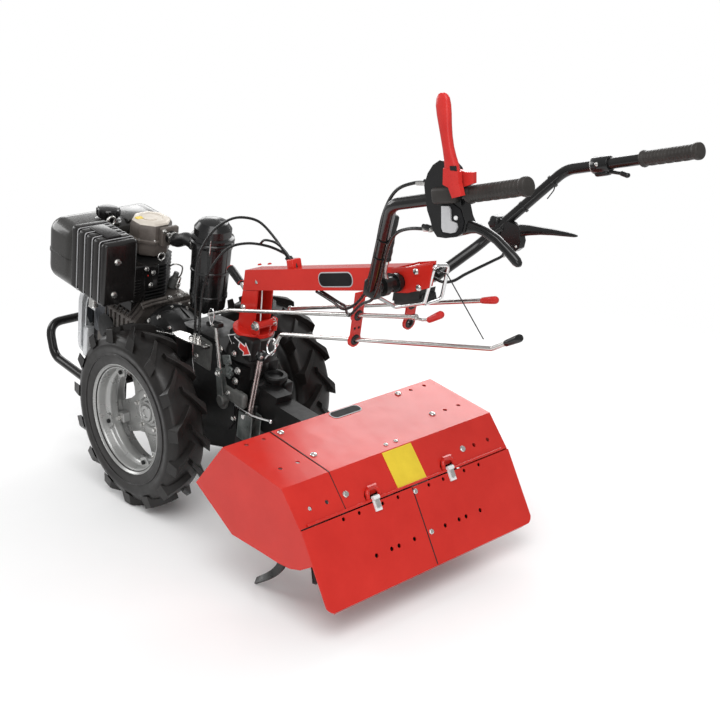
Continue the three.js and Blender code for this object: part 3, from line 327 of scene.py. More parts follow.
class Piece:
    """One named piece, gathered from several bodies. Each drawing call starts with a look."""

    def __init__(self, name, body, slot=None, replaces=(), space=CHASSIS):
        self.name, self.body, self.slot = name, body, slot
        self.replaces, self.space = replaces, space
        self.points, self.faces, self.marks, self.looks = [], [], [], []

    def add(self, look, points, faces):
        if look not in self.looks:
            self.looks.append(look)
        base = len(self.points)
        self.points += [Vector(p) for p in points]
        self.faces += [[base + i for i in face] for face in faces]
        self.marks += [self.looks.index(look)] * len(faces)

    def rings(self, look, loops, closed=False):
        """A skin over loops of the same number of points, capped unless it closes on itself."""
        count = len(loops[0])
        faces = []
        for i in range(len(loops) if closed else len(loops) - 1):
            a, b = i * count, (i + 1) % len(loops) * count
            faces += [(a + j, a + (j + 1) % count, b + (j + 1) % count, b + j) for j in range(count)]
        if not closed:
            faces.append(tuple(range(count))[::-1])
            faces.append(tuple((len(loops) - 1) * count + j for j in range(count)))
        self.add(look, [p for loop in loops for p in loop], faces)

    def box(self, look, low, high):
        points = [(x, y, z) for x in (low[0], high[0]) for y in (low[1], high[1]) for z in (low[2], high[2])]
        self.add(look, points, [
            (0, 1, 3, 2), (4, 6, 7, 5), (0, 4, 5, 1), (2, 3, 7, 6), (0, 2, 6, 4), (1, 5, 7, 3)])

    def soft_box(self, look, low, high, radius, turn=Matrix.Identity(3), steps=4):
        """A box whose edges and corners are all rounded."""
        low, high = Vector(low), Vector(high)
        centre, half = (low + high) / 2, (high - low) / 2
        radius = min(radius, *half)
        inner = half - Vector((radius,) * 3)
        signs = [(1, 1), (-1, 1), (-1, -1), (1, -1)]
        quarter = [90 * i / steps for i in range(steps + 1)]
        loops = []
        for level, tilt in [(side, radians(90 * side - 90 + a)) for side in (0, 1) for a in quarter]:
            loop = []
            for side, angle in [(side, radians(90 * side + a)) for side in range(4) for a in quarter]:
                loop.append(centre + turn @ Vector((
                    signs[side][0] * inner.x + radius * cos(tilt) * cos(angle),
                    signs[side][1] * inner.y + radius * cos(tilt) * sin(angle),
                    (inner.z if level else -inner.z) + radius * sin(tilt))))
            loops.append(loop)
        self.rings(look, loops)

    def turned(self, look, at, axis, profile, sides=32, closed=False, phase=0.0):
        """A body turned about an axis: the profile runs (along, radius)."""
        at, axis = Vector(at), Vector(axis).normalized()
        u, v = frame_about(axis)
        angles = spokes(sides, phase)
        self.rings(look, [ring(at + axis * along, u, v, angles, radius) for along, radius in profile], closed)

    def bar(self, look, a, b, radius, sides=20):
        a, b = Vector(a), Vector(b)
        self.turned(look, a, b - a, [(0, radius), ((b - a).length, radius)], sides)

    def tube(self, look, run, radius, sides=12):
        """A round tube along a run of points."""
        run = [Vector(p) for p in run]
        angles = spokes(sides)
        loops = []
        ahead = (run[1] - run[0]).normalized()
        u, v = frame_about(ahead)
        for i, point in enumerate(run):
            new = (run[min(i + 1, len(run) - 1)] - run[max(i - 1, 0)]).normalized()
            turn = ahead.rotation_difference(new)
            u, v, ahead = turn @ u, turn @ v, new
            loops.append(ring(point, u, v, angles, radius))
        self.rings(look, loops)

    def plate(self, look, at, u, v, outline, thickness):
        """A flat plate drawn in the plane of u and v from a point, and thick along their cross product."""
        at, u, v = Vector(at), Vector(u).normalized(), Vector(v).normalized()
        out = u.cross(v).normalized()
        loops = [[at + u * a + v * b + out * depth for a, b in outline] for depth in (0, thickness)]
        self.rings(look, loops)

    def side_plate(self, look, outline, y0, y1):
        """A plate drawn in X and Z, between two Y planes."""
        self.plate(look, (0, y1, 0), X, Z, outline, y1 - y0)

    def bolts(self, axis, radius, height, *places, look="zinc"):
        """Hexagonal heads on washers."""
        head = [(-1, 1.25 * radius), (0.2 * height, 1.25 * radius), (0.2 * height, radius), (height, radius),
                (1.1 * height, 0.85 * radius)]
        for at in places:
            self.turned(look, at, axis, head, 6)
            self.turned(look, at, axis, [(-1, 1.3 * radius), (0.18 * height, 1.3 * radius)], 20)

    def studs(self, axis, radius, height, *places, look="zinc"):
        """Round-headed screws and rivets."""
        dome = [(-1, radius), (0.3 * height, radius), (0.75 * height, 0.78 * radius), (height, 0.35 * radius),
                (1.02 * height, 0.01)]
        for at in places:
            self.turned(look, at, axis, dome, 16)

    def ball(self, look, at, radius, sides=18):
        turns = [2 * pi * i / sides for i in range(sides // 2 + 1)]
        self.turned(look, at, Z, [(-radius * cos(a), max(radius * sin(a), 0.01)) for a in turns], sides)

    def done(self, bevel=0.0, segments=2, angle=32):
        mesh = bpy.data.meshes.new(self.name)
        mesh.from_pydata([self.space @ p for p in self.points], [], self.faces)
        for look in self.looks:
            mesh.materials.append(MAT[look])
        mesh.polygons.foreach_set("material_index", self.marks)
        tidy = bmesh.new()
        tidy.from_mesh(mesh)
        bmesh.ops.remove_doubles(tidy, verts=tidy.verts, dist=2e-6)
        bmesh.ops.recalc_face_normals(tidy, faces=tidy.faces)
        tidy.to_mesh(mesh)
        tidy.free()
        mesh.polygons.foreach_set("use_smooth", [True] * len(mesh.polygons))
        mesh.set_sharp_from_angle(angle=radians(angle))
        piece = add_object(self.name, mesh)
        if bevel:
            soften(piece, bevel, segments)
        if self.body:
            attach(piece, self.body)
        if self.replaces:
            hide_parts(*self.replaces)
        return piece


def soften(piece, width, segments=2):
    """A rounded edge wherever two faces meet at more than the angle."""
    edge = piece.modifiers.new("edge", "BEVEL")
    edge.width = width / 1000
    edge.segments = segments
    edge.limit_method = "ANGLE"
    edge.angle_limit = radians(32)
    edge.harden_normals = True
    edge.use_clamp_overlap = True


def soften_nodes(width, segments, *names):
    for name in names:
        soften(NODES[name], width, segments)


def cut_nodes(cutter, *names):
    """The cutter's bodies are taken out of these nodes, and the cutter itself isn't shown."""
    hidden = cutter.done()
    hidden.hide_render = True
    hidden.hide_viewport = True
    for name in names:
        hole = NODES[name].modifiers.new("cut", "BOOLEAN")
        hole.operation = "DIFFERENCE"
        hole.solver = "EXACT"
        hole.object = hidden


# ---------------------------------------------------------------- tiller hood
TOP_LEVEL = 182.6
FOLD_REAR = Vector((-668, 0, 183))
HINGE = Vector((-736, 0, 121))
SLOPE = (HINGE - FOLD_REAR).normalized()
SLOPE_OUT = Vector((SLOPE.z, 0, -SLOPE.x))
FLAP_RUN = Vector((-48, 0, -62)).normalized()
FLAP_OUT = Vector((FLAP_RUN.z, 0, -FLAP_RUN.x))
FLAP_FACE = 3.3
FLAP_END, FLAP_CORNER = 158, (322, 26)  # where the rounded corners start, their reach and radius
HOLE = 5.0
CUT = 8  # a drill's reach each side of the sheet
LATCHES = [107, -127]


def on_top(x, y, out=0):
    return Vector((x, y, TOP_LEVEL + out))


def on_slope(along, y, out=0):
    return FOLD_REAR + SLOPE * along + SLOPE_OUT * out + Y * y


def on_flap(along, y, out=0):
    return HINGE + FLAP_RUN * along + FLAP_OUT * (FLAP_FACE + out) + Y * y


def rectangle(low, high):
    return [(low[0], low[1]), (high[0], low[1]), (high[0], high[1]), (low[0], high[1])]


def drill(piece, spot, along, places, radius=HOLE):
    for y in places:
        piece.bar("void", spot(along, y, -CUT), spot(along, y, CUT), radius)


cuts = Piece("hood_cuts", None)
for x in (-488, -603):
    drill(cuts, on_top, x, (221, 269, -234, -280))
drill(cuts, on_slope, 58, (227, 274, -228, -275))
for y in LATCHES:
    arch = [(-24, 96), (24, 96), (24, 76), (17, 66), (6, 61), (-6, 61), (-17, 66), (-24, 76)]
    cuts.plate("void", FOLD_REAR + Y * y - SLOPE_OUT * 9, Y, SLOPE, arch, 18)
cut_nodes(cuts, "tiller_hood", "hood_extension")

cuts = Piece("flap_cuts", "flap_body")
drill(cuts, on_flap, 12, (207, 162, 93, 47, -49, -95, -164, -213), HOLE - 0.6)
drill(cuts, on_flap, 109, (154, 109, 87, 40, -57, -102, -125, -172))
for side in (1, -1):
    reach, radius = FLAP_CORNER
    turns = [radians(a) for a in range(0, 91, 10)]
    outline = [(side * (reach - radius + radius * cos(a)), FLAP_END + radius * sin(a)) for a in turns]
    outline += [(side * (reach - radius), 200), (side * 335, 200), (side * 335, FLAP_END)]
    cuts.plate("void", HINGE - FLAP_OUT * 30, Y, FLAP_RUN, outline[::side], 60)
cut_nodes(cuts, "flap_left", "flap_right")
soften_nodes(1.3, 3, "tiller_hood", "hood_extension", "flap_left", "flap_right")

hood = Piece("hood_fittings", "root", "red_paint")
hood.studs(Z, 8, 5, *[on_top(x, y) for x, y in ((-487, 172), (-598, 172), (-487, -192), (-602, -192))])
hood.studs(Z, 5.5, 4, on_top(-649, 4), on_top(-649, -27))
hood.studs(SLOPE_OUT, 8, 5, on_slope(57, 174), on_slope(57, -189))
hood.plate("border", on_top(0, 0), X, Y, rounded_outline((-503, -66), (-473, 24), 13), 0.7)
hood.plate("plate", on_top(0, 0), X, Y, rounded_outline((-500.4, -63.4), (-475.6, 21.4), 11), 1.1)
hood.plate("yellow", on_slope(0, 0, 0.1), Y, SLOPE, [(36, 2), (-53, 2), (-53, 87), (36, 87)], 0.9)
# Two near-black strips along the extension's seam are a painted shadow of the overlapping hood edge.
hood.plate("void", on_top(0, 0), X, Y, rectangle((-668, 188.4), (-470, 191.6)), 0.9)
hood.plate("void", on_slope(0, 0, -0.5), Y, SLOPE, rectangle((188.8, 0), (191.2, 91)), 0.7)
for y in LATCHES:
    # Under each latch opening a near-black sheet is painted shade inside the hood.
    hood.plate("void", on_slope(0, y, -20), Y, SLOPE, rectangle((-34, 48), (34, 91)), 1)
    run = [on_slope(78 - 14 * sin(t), y + 17 * cos(t), 3) for t in [pi * i / 10 for i in range(11)]]
    ends = [end + SLOPE * 9 - SLOPE_OUT * 6 for end in (run[0], run[-1])]
    hood.tube("red", [ends[0], *run, ends[1]], 5, 10)
    hood.box("red", (-722, y - 13, 128), (-716, y + 13, 150))
hood.done(0.4)

flap = Piece("flap_fittings", "flap_body", "red_paint")
flap.studs(FLAP_OUT, 6.5, 4, on_flap(14, -5), on_flap(109, -12))
for y in (110, -122):
    flap.plate("white", on_flap(4, y), Y, FLAP_RUN, rectangle((-9, -6), (9, 19)), 4)
    flap.plate("zinc", on_flap(4, y, 4), Y, FLAP_RUN, rectangle((-6, -16), (6, 12)), 3)
    flap.bar("white", on_flap(-6, y - 9, 4), on_flap(-6, y + 9, 4), 5)
    flap.studs(FLAP_OUT, 3.2, 2, on_flap(16, y, 3))
flap.tube("red", [on_flap(-3, y, -1.6) for y in range(-300, 301, 60)], 3.2)
for low, high in ((4, 20), (100, 118)):
    flap.plate("iron", HINGE - FLAP_OUT * 4.4, Y, FLAP_RUN, rectangle((-268, low), (268, high)), -0.8)
# A near-black strip over the gap between the flaps is painted shade in the gap.
flap.plate("void", HINGE + FLAP_OUT * 3, Y, FLAP_RUN, [(1.5, 4), (-1.5, 4), (-1.5, 180), (1.5, 180)], 0.6)
flap.done(0.4)


# ---------------------------------------------------------------- wheels
WHEEL_Y = 202
TYRE_HALF = 51.8
LUGS = 15
LUG_TOP = 229.4
LUG_SWEEP = radians(15)
LUG_STATIONS = [(-0.06, 17, 0), (0.2, 18, 0), (0.45, 20, 0), (0.7, 24, 0), (0.88, 28, 0), (1.0, 31, 1)]
SPIDER_TURN = radians(69)
CARCASS = [
    (40, 131.6), (43, 136), (46, 143), (47.5, 150), (48.5, 160), (49.0, 172), (50.6, 178), (51.6, 183),
    (51.6, 188), (50.2, 192), (47.5, 196), (45.5, 202), (42, 207.5), (34, 211.5), (20, 214), (0, 215)]
RIM_INSIDE = [
    (46.5, 140.5), (44.5, 141), (42.5, 139), (40.5, 134), (38.5, 129.5), (34, 127.4), (20, 126.6),
    (16, 124.5),
    (13, 118.5), (9, 116), (-9, 116), (-13, 118.5), (-16, 124.5), (-20, 126.6), (-38, 127.4), (-41, 130),
    (-44.5, 140), (-46, 141)]
RIM_OUTSIDE = [
    (-46, 138), (-42.5, 134.5), (-39, 131), (-18, 130), (-12, 121), (12, 121), (18, 130), (39, 131),
    (42, 134.5), (45, 138), (47, 139)]
SPIDER_ARM = [
    (-0.34, 125), (-0.17, 127), (0, 127.4), (0.17, 127), (0.34, 125), (0.42, 104), (0.56, 82), (0.785, 70),
    (1.01, 82), (1.15, 104)]


def on_wheel(radius, angle, y=0.0):
    return Vector((radius * cos(angle), y, radius * sin(angle)))


def lug(piece, centre, side, start):
    """A lug sweeps back from the middle of the tread and ends as a block on the shoulder."""
    loops = []
    for t, width, end in LUG_STATIONS:
        angle = start + LUG_SWEEP * t
        top, low = LUG_TOP - 2.0 * t * t, 196 if end else 206
        half_top, half_low = (width / 2 - 2.2) / 229, (width / 2 + 1.5) / 205
        y_top = side * (49 * t - (2.5 if end else 0))
        y_low = side * (TYRE_HALF - 0.1 if end else 49 * t)
        loops.append([
            centre + on_wheel(low, angle - half_low, y_low), centre + on_wheel(low, angle + half_low, y_low),
            centre + on_wheel(top, angle + half_top, y_top), centre + on_wheel(top, angle - half_top, y_top)])
    piece.rings("tyre", loops)


def tyre(name, side, body, centre):
    piece = Piece("tyre_tread_" + name, body, "tyre_rubber", ("tyre_" + name,), LEVEL)
    profile = CARCASS + [(-y, r) for y, r in CARCASS[-2::-1]] + [(-38, 131.4), (38, 131.4)]
    piece.turned("tyre", centre, Y, profile, 96, closed=True)
    bead = [(side * y, r) for y, r in ((49.0, 164), (50.6, 165.2), (50.6, 166.8), (49.0, 168), (47, 166))]
    piece.turned("tyre", centre, Y, bead, 96, closed=True)
    for turn in spokes(LUGS):
        for edge in (1, -1):
            lug(piece, centre, edge, turn + radians(16 if edge * side > 0 else 4))
    piece.done(1.6, 2, 38)


def rim(name, side, body, centre):
    piece = Piece("rim_barrel_" + name, body, "rim_silver", ("rim_" + name, "wheel_centre_" + name), LEVEL)
    out = Y * side
    piece.turned("rim", centre, Y, [(side * y, r) for y, r in RIM_INSIDE + RIM_OUTSIDE], 96, closed=True)
    plane = centre - out * 34
    turns = [(arm + turn, r) for arm in spokes(4, SPIDER_TURN) for turn, r in SPIDER_ARM]
    star = [(r * cos(turn), r * sin(turn)) for turn, r in turns]
    piece.plate("rim", plane + Y * 3, X, Z, star, 6)
    hub = [(2, 62), (8, 58), (9, 50), (9, 40), (4, 36), (4, 30), (12, 29), (13, 27), (13, 0.1)]
    piece.turned("rim", plane, out, hub, 40)
    piece.turned("rim", plane, out, [(3, 24), (14, 23), (18, 20), (18.5, 12), (15, 10), (15, 0.1)])
    piece.bolts(out, 5, 7, *[plane + on_wheel(47, turn, side * 8.5) for turn in spokes(5, 0.3)])
    drum = [(0, 52), (12, 50), (14, 36), (46, 34), (48, 34), (50, 18), (52, 16), (54, 0.1)]
    piece.turned("rim", plane, -out, drum)
    for arm in spokes(4, SPIDER_TURN):
        radial, across = on_wheel(1, arm), on_wheel(1, arm + pi / 2)
        base = centre + radial * 127 + out * 24
        tab = [(-19, 0), (19, 0), (17, -14), (11, -24), (-11, -24), (-17, -14)]
        piece.plate("rim", base - out * 2, across, radial, tab, -4)
        # A near-black disc in each tab is painted shade in its hole.
        piece.turned("void", base - radial * 12 + out * 2, out, [(-6, 5.5), (0.6, 5.5), (0.6, 0.1)], 18)
        clamp = centre + radial * 112 - out * 20
        piece.soft_box("rim", clamp - Vector((13, 12, 13)), clamp + Vector((13, 10, 13)), 4)
        piece.bolts(out, 7, 8, clamp + out * 8)
    piece.done(0.8, 2, 38)


for name, side in (("left", 1), ("right", -1)):
    for build in (tyre, rim):
        build(name, side, "wheel_%s_body" % name, Vector((0, side * WHEEL_Y, 0)))


# ---------------------------------------------------------------- engine
muffler = Piece("muffler_shell", "root", "muffler_black", ("muffler",))
muffler.soft_box("muffler", (188, 103, 216), (338, 197, 382), 16, steps=6)
muffler.soft_box("muffler", (184, 101, 215), (207, 199.5, 384), 10, steps=6)
for x in (210, 243, 276, 309):
    muffler.soft_box("muffler", (x, 100.5, 215.5), (x + 29, 200, 385), 9, steps=5)
# Grey rings along the band seams are painted edge highlights on the black muffler.
for x in (208.5, 241, 274, 307):
    seam = [Vector((x, y, z)) for y, z in rounded_outline((100.3, 215.6), (199.8, 384.8), 9)]
    muffler.tube("border", [*seam, seam[0]], 1.1, 8)
muffler.bolts(-X, 7, 6, (184.5, 161, 333), (184.5, 168, 246))
muffler.soft_box("muffler", (216, 128, 383), (300, 172, 389), 3)
tailpipe = [(0, 12), (52, 12), (54, 13), (55, 12), (54, 10), (20, 9.5), (20, 0.1)]
muffler.turned("zinc", (262, 176, 240), -Z, tailpipe, 24)
muffler.done()

FILLER = Vector((382, 62, 0))
tank = Piece("tank_shell", "root", "black_sheet", ("fuel_tank",))
tank.soft_box("tank", (341, -119, 191), (479, 189, 361), 38, steps=8)
tank.plate("tank", (0, 0, 270), X, Y, rounded_outline((339, -121), (481, 191), 40, 10), 6)
tank.soft_box("tank", (352, -70, 355), (440, 20, 363.5), 8, steps=3)
tank.turned("tank", FILLER + Z * 355, Z, [(0, 36), (6, 35), (9, 30), (9, 22)])
tank.done()

cap = Piece("tank_cap", "root", "black_plastic", ("fuel_cap",))
dome = [(0, 22), (8, 22), (8, 28), (11, 29.5), (27, 29.5), (31, 26), (32.5, 18), (33, 0.1)]
cap.turned("plastic", FILLER + Z * 362.5, Z, dome, 36)
for base in ring(FILLER + Z * 374, X, Y, spokes(14), 28.6):
    cap.bar("plastic", base, base + Z * 17, 3, sides=10)
cap.tube("zinc", closed_ring((345, 76, 372), Y, Z, 11), 3.4)
cap.soft_box("zinc", (340, 70, 346), (350, 82, 364), 3)
cap.done()

rocker = Piece("rocker_casting", "root", "alloy_casting", ("rocker_cover",))
ROCKER = Vector((285, -6, 0))
EIGHTH = pi / 8
skirt = [(300.4, 48), (306, 51), (334, 52.5), (336, 57.5), (343, 58), (345, 55), (376, 55.5), (386, 50)]
lid = [(384, 51.4), (388.5, 48.5), (391.5, 42), (391.5, 33), (390, 32), (390, 0.1)]
rocker.turned("cast_beige", ROCKER, Z, skirt, 8, phase=EIGHTH)
rocker.turned("cast_pale", ROCKER, Z, lid, 8, phase=EIGHTH)
rocker.turned("cast_pale", ROCKER + Y * 6, Z, [(388, 20), (392, 19), (392, 0.1)], 24)
rocker.bolts(Z, 4, 5, *ring(ROCKER + Z * 343, X, Y, spokes(8, EIGHTH), 51.5))
rocker.plate("yellow", ROCKER + Z * 390.6, X, Y, rounded_outline((0, 22), (17, 42), 4), 1.2)
rocker.done(1.6, 3, 28)

cowl = Piece("cowl_shell", "root", "black_sheet", ("cylinder_cowl",))
CORE = [(208, 98), (208, 6), (266, -52), (338, -58), (338, 98)]
FIN = [(199, 98), (199, 1), (262.5, -61), (339, -61), (339, 98)]
cowl.plate("black_satin", (0, 0, 201), X, Y, CORE[::-1], -98)
for i in range(10):
    cowl.plate("cast_black", (0, 0, 204 + 9.6 * i), X, Y, FIN, 3.6)
cowl.soft_box("black_satin", (198.4, 60, 201), (338, 99.4, 299.5), 6)
# Six grey bars across the black fins are painted highlights on the fin edges.
for z in range(222, 263, 8):
    cowl.soft_box("cast_grey", (198.4, 76, z), (206, 98, z + 2.6), 1.1, steps=2)
cowl.soft_box("black_satin", (198.6, 22, 228), (208, 70, 296), 6)
cowl.bolts(-X, 5.5, 4, (198.6, 41, 276), (198.6, 47, 243), (198.6, 62, 290))
cowl.soft_box("red", (198.5, 54, 268), (203, 60, 275), 2)
cowl.tube("zinc", closed_ring((200.5, 18, 316), Y, Z, 10), 2.2, 10)
lead = [(240, -34, 262), (226, -46, 274), (216, -62, 268), (222, -66, 244), (232, -62, 226)]
cowl.tube("zinc", curve_through(lead, 8), 2.2, 10)
LEAN = (-0.1, -0.3, 1)
cowl.turned("zinc", (233, -60, 204), LEAN, [(0, 9), (12, 9), (12, 6.5), (26, 5.4), (30, 3.4)], 16)
cowl.turned("cast_grey", (244, -52, 200.5), LEAN, [(0, 13), (26, 12), (30, 8), (44, 7)], 20)
cowl.done(0.8)

case = Piece("crankcase_fittings", "root", "dark_alloy")
for y in (-58, -34, -6, 22, 50):
    case.bolts(Z, 6, 6, (186, y, 199.5))
    case.soft_box("cast_dark", (176.5, y - 9, 186), (200, y + 9, 201), 4)
case.soft_box("cast_dark", (170.5, -72, 108), (182, 8, 190), 7)
flange = ((-62, 118), (-62, 180), (-2, 180), (-28, 184), (-62, 150))
case.bolts(-X, 4.6, 4, *[(170.8, y, z) for y, z in flange])
boss = [(0, 30), (8, 29), (11, 25), (11, 18), (16, 17), (17, 0.1)]
case.turned("cast_dark", (180, -44, 148), -X, boss)
for x in range(190, 327, 17):
    case.side_plate("cast_dark", [(x, 152), (x + 4, 152), (x + 4, 197), (x, 197)], 60, 66)
    case.plate("cast_dark", (x, 106, 160), (0, -40, 44), X, rectangle((0, 0), (58, 4.5)), 5)
for z, x in ((205, 183), (199, 176)):
    case.tube("cast_dark", [(x, 84, z - 3), (x, 52, z), (x, 8, z)], 4.6, 14)
for x in range(186, 307, 20):
    case.soft_box("cast_dark", (x, 103, 20), (x + 5, 108.5, 150), 1.5, steps=2)
case.soft_box("cast_dark", (180, 100, 0), (343, 109, 22), 4)
case.bolts(Y, 5.5, 5, *[(x, 108.5, 12) for x in (200, 240, 285, 325)])
case.turned("cast_black", (300, 104, 92), Y, [(0, 40), (5, 39), (7, 34), (7, 0.1)])
case.done()
soften_nodes(6, 3, "engine_crankcase")

bell = Piece("bell_casting", "root", "black_casting", ("clutch_bell",))
bowl = [(92.4, 0.1), (92.4, 87), (94, 88), (103, 88), (105, 84), (112, 79), (150, 88), (163, 92), (166, 99),
        (176, 100), (177.6, 98), (177.6, 0.1)]
bell.turned("cast_black", (0, 0, 90), X, bowl, 56)
for turn in spokes(12):
    bell.bolts(-X, 5, 5, (166, 93 * cos(turn), 90 + 93 * sin(turn)))
    out = Vector((0, cos(turn + 0.26), sin(turn + 0.26)))
    bell.plate("cast_black", Vector((104, 0, 90)) + out * 70, X, out, [(0, 0), (60, 0), (60, 24), (0, 12)], 4)
bell.done(1.0)

fan = Piece("fan_housing", "root", "silver_alloy", ("blower_shroud",))
fan.soft_box("black_satin", (346, -94, -40), (404, 94, 182), 20, steps=5)
fan.plate("alloy", (402, 0, 0), Y, Z, rounded_outline((-122, -48), (122, 187), 62, 12), 14)
for x, inset, radius in ((402, 0, 3.2), (394, 9, 2.2)):
    outline = rounded_outline((-121 + inset, -47 + inset), (121 - inset, 186 - inset), 60, 12)
    edge = [Vector((x, y, z)) for y, z in outline]
    fan.tube("alloy", [*edge, edge[0]], radius, 10)
duct = [(70, 30), (176, 30), (178, 84), (160, 104), (90, 108), (64, 96)]
fan.plate("fin_grey", (399, 0, 0), Z, Y, duct, 3)
# A near-black disc is painted shade in a hole through the shroud.
fan.turned("void", (401.6, 100, 6), -X, [(0, 8), (0.9, 8), (0.9, 0.1)], 24)
fan.turned("alloy", (402, 60, -20), -X, [(0, 26), (10, 24), (12, 18), (12, 0.1)])
fan.soft_box("alloy", (360, 84, 116), (392, 108, 138), 3)
fan.soft_box("fin_grey", (300, 84, 62), (372, 106, 150), 10, turn=about_y(10))
for i in range(8):
    arc = [(306 + 8.5 * i - 10 * sin(pi * t / 8), 107 - abs(t - 4), 152 - 11 * t) for t in range(9)]
    fan.tube("fin_grey", arc, 2.4, 8)
fan.soft_box("alloy", (380, 88, -30), (402, 118, 60), 8)
fan.done()

cover = Piece("starter_cover", "root", "black_plastic", ("recoil_starter",))
STARTER = Vector((417.4, 0, 75))
drum = [(0, 0.1), (0, 85), (3, 86), (20, 86), (24, 83), (40, 73), (44, 68), (48, 34), (50, 28), (50, 0.1)]
cover.turned("plastic", STARTER, X, drum, 64)
# Near-black slits on the cover are painted shade inside its vents.
for turn in spokes(20):
    out = Vector((0, cos(turn), sin(turn)))
    slit = [(0, -3), (18, -3.6), (18, 3.6), (0, 3)]
    cover.plate("void", STARTER + out * 44 + X * 44.6, out, out.cross(X), slit, -1.2)
cover.bolts(X, 4.5, 4, *ring(Vector((438, 0, 75)), Y, Z, spokes(4, pi / 4), 79))
cover.soft_box("plastic", (430, 58, 118), (452, 74, 142), 5)
cover.done(0.8)

air = Piece("air_cleaner_body", "root", "black_plastic", ("air_cleaner",))
AIR = Vector((45, -20, 0))
canister = [
    (232, 0.1), (232, 38), (235, 44), (262, 45.5), (264, 48), (272, 48), (274, 46.5), (330, 48), (332, 50),
    (338, 50),
    (340, 48.6), (400, 49.6), (402, 52.5), (407, 54.6), (412, 54.6), (415, 52), (418, 54), (424, 54),
    (428, 47), (446, 47), (450, 44), (461, 36), (466, 22), (467, 0.1)]
air.turned("plastic", AIR, Z, canister, 56)
for look, turns, profile, radius in (
        ("plastic", (0.2, 1.9, 3.4, 4.9), ((47.5, 270), (47.5, 335), (47.5, 400)), 2.6),
        ("zinc", (-2.0, 2.4), ((50, 385), (55.5, 398), (56, 414), (50, 428)), 1.8)):
    for turn in turns:
        air.tube(look, [AIR + Vector((r * cos(turn), r * sin(turn), z)) for r, z in profile], radius, 8)
air.soft_box("plastic", (-12, 26, 318), (6, 34, 332), 3)
air.soft_box("cast_black", (20, -50, 224), (70, 10, 236), 4)
air.done()

elbow = Piece("elbow_hose", "root", "black_rubber", ("intake_elbow",))
path = bent_through([(92, -20, 378), (150, -20, 378), (186, -20, 358), (230, -20, 358)], 30, 8)
elbow.tube("rubber", path, 17, 24)
elbow.turned("zinc", (104, -20, 378), X, [(0, 18.6), (8, 18.6)], 28)
elbow.turned("rubber", (114, -20, 378), X, [(0, 17), (1, 19.5), (4, 19.5), (5, 17)], 28)
elbow.turned("zinc", (196, -20, 358), X, [(0, 18.8), (7, 18.8)], 28)
elbow.soft_box("zinc", (196, -6, 369), (203, 4, 378), 2)
elbow.soft_box("cast_beige", (216, -46, 333), (232, 8, 384), 5)
elbow.bolts(-X, 4.6, 4, (216, -39, 340), (216, 1, 377))
elbow.done()

bumper = Piece("bumper_tube", "root", "black_tube", ("front_bumper",))
half = [(225, 120, -90), (534, 120, -90), (567.7, 120, -4)]
bumper.tube("black", bent_through(half + [(x, -y, z) for x, y, z in half[::-1]], 42, 10), 12.4, 24)
for side in (1, -1):
    bumper.bolts(Y * side, 6.5, 6, (240, side * 131, -90), (310, side * 131, -90))
bumper.done()
soften_nodes(1.5, 2, "engine_cradle")


# ---------------------------------------------------------------- rotor blades
ROTOR_AT = Vector((-600 * TIP_COS - 12 * TIP_SIN, 0, -600 * TIP_SIN + 12 * TIP_COS))
BLADE_REACH, BLADE_ROOT, BLADE_STEPS = 150, 38, 12


def blade(piece, centre, tip_angle, outward):
    """A curved hoe blade: it sweeps forward as it reaches out, and its end twists and leans sideways."""
    loops = []
    for part in (i / BLADE_STEPS for i in range(BLADE_STEPS + 1)):
        angle = tip_angle - radians(46) * (1 - part) ** 1.2
        radial = Vector((sin(angle), 0, -cos(angle)))
        tangent = Vector((cos(angle), 0, sin(angle)))
        twist = radians(52) * part ** 2 * outward
        wide = tangent * cos(twist) - Y * sin(twist)
        thin = wide.cross(radial)
        reach = BLADE_ROOT + (BLADE_REACH - BLADE_ROOT) * part
        middle = centre + radial * reach + Y * outward * 22 * part ** 2
        half, thick = 15 - 5 * part, 4 - 1.6 * part
        corners = ((-half, -thick), (half, -thick), (half, thick), (-half, thick))
        loops.append([middle + wide * a + thin * b for a, b in corners])
    piece.rings("iron", loops)


for name, side, y, lean, outward in (
        ("outer_left", 1, 244, 24.4, 1), ("inner_left", 1, 109, -24.4, -1),
        ("outer_right", -1, 244, 24.4, 1), ("inner_right", -1, 109, -24.4, -1)):
    blades = Piece("blades_" + name, "rotor_body", "black_iron", ("tines_" + name,), LEVEL)
    hub = ROTOR_AT + Y * side * y
    blades.turned("iron", hub, Y, [(-5, 21), (-5, 45), (-4, 46), (4, 46), (5, 45), (5, 21)], 40, closed=True)
    for turn in spokes(4, radians(lean)):
        blade(blades, hub, turn, side * outward)
        spot = turn - radians(40)
        blades.bolts(Y * side, 4.5, 4, hub + Vector((38 * sin(spot), 5 * side, -38 * cos(spot))))
    blades.done(0.9)


# ---------------------------------------------------------------- gearbox and clutch arm
soften_nodes(7, 4, "gearbox_case")
arm = Piece("clutch_cover", "root", "zinc_steel", ("clutch_arm",))
drum = [(0, 70), (34, 69), (40, 66), (44, 58), (44, 40), (48, 38), (48, 0.1)]
arm.turned("cast_black", (74, 57, 150), Y, drum, 48)
for turn in range(35, 351, 45):
    arm.bolts(Y, 5, 5, (74 + 61 * cos(radians(turn)), 98, 150 + 61 * sin(radians(turn))))
top_edge = [(154, 156), (110, 170), (62, 183), (20, 195), (-20, 205), (-70, 213), (-124, 219)]
arm.side_plate("iron", top_edge + [(x, z - 5) for x, z in reversed(top_edge)], 97, 111)
for y, radius in ((111.4, 1.7), (97, 1.2)):
    arm.tube("zinc", curve_through([(x, y, z + 0.6) for x, z in top_edge], 5), radius, 8)
lens = [(0, 92), (34, 86), (78, 90), (110, 98), (133, 108), (108, 119), (76, 124), (34, 124), (0, 116)]
arm.plate("zinc", (4, 0, 203.5), (-1, 0, 0.13), Y, lens, -3)
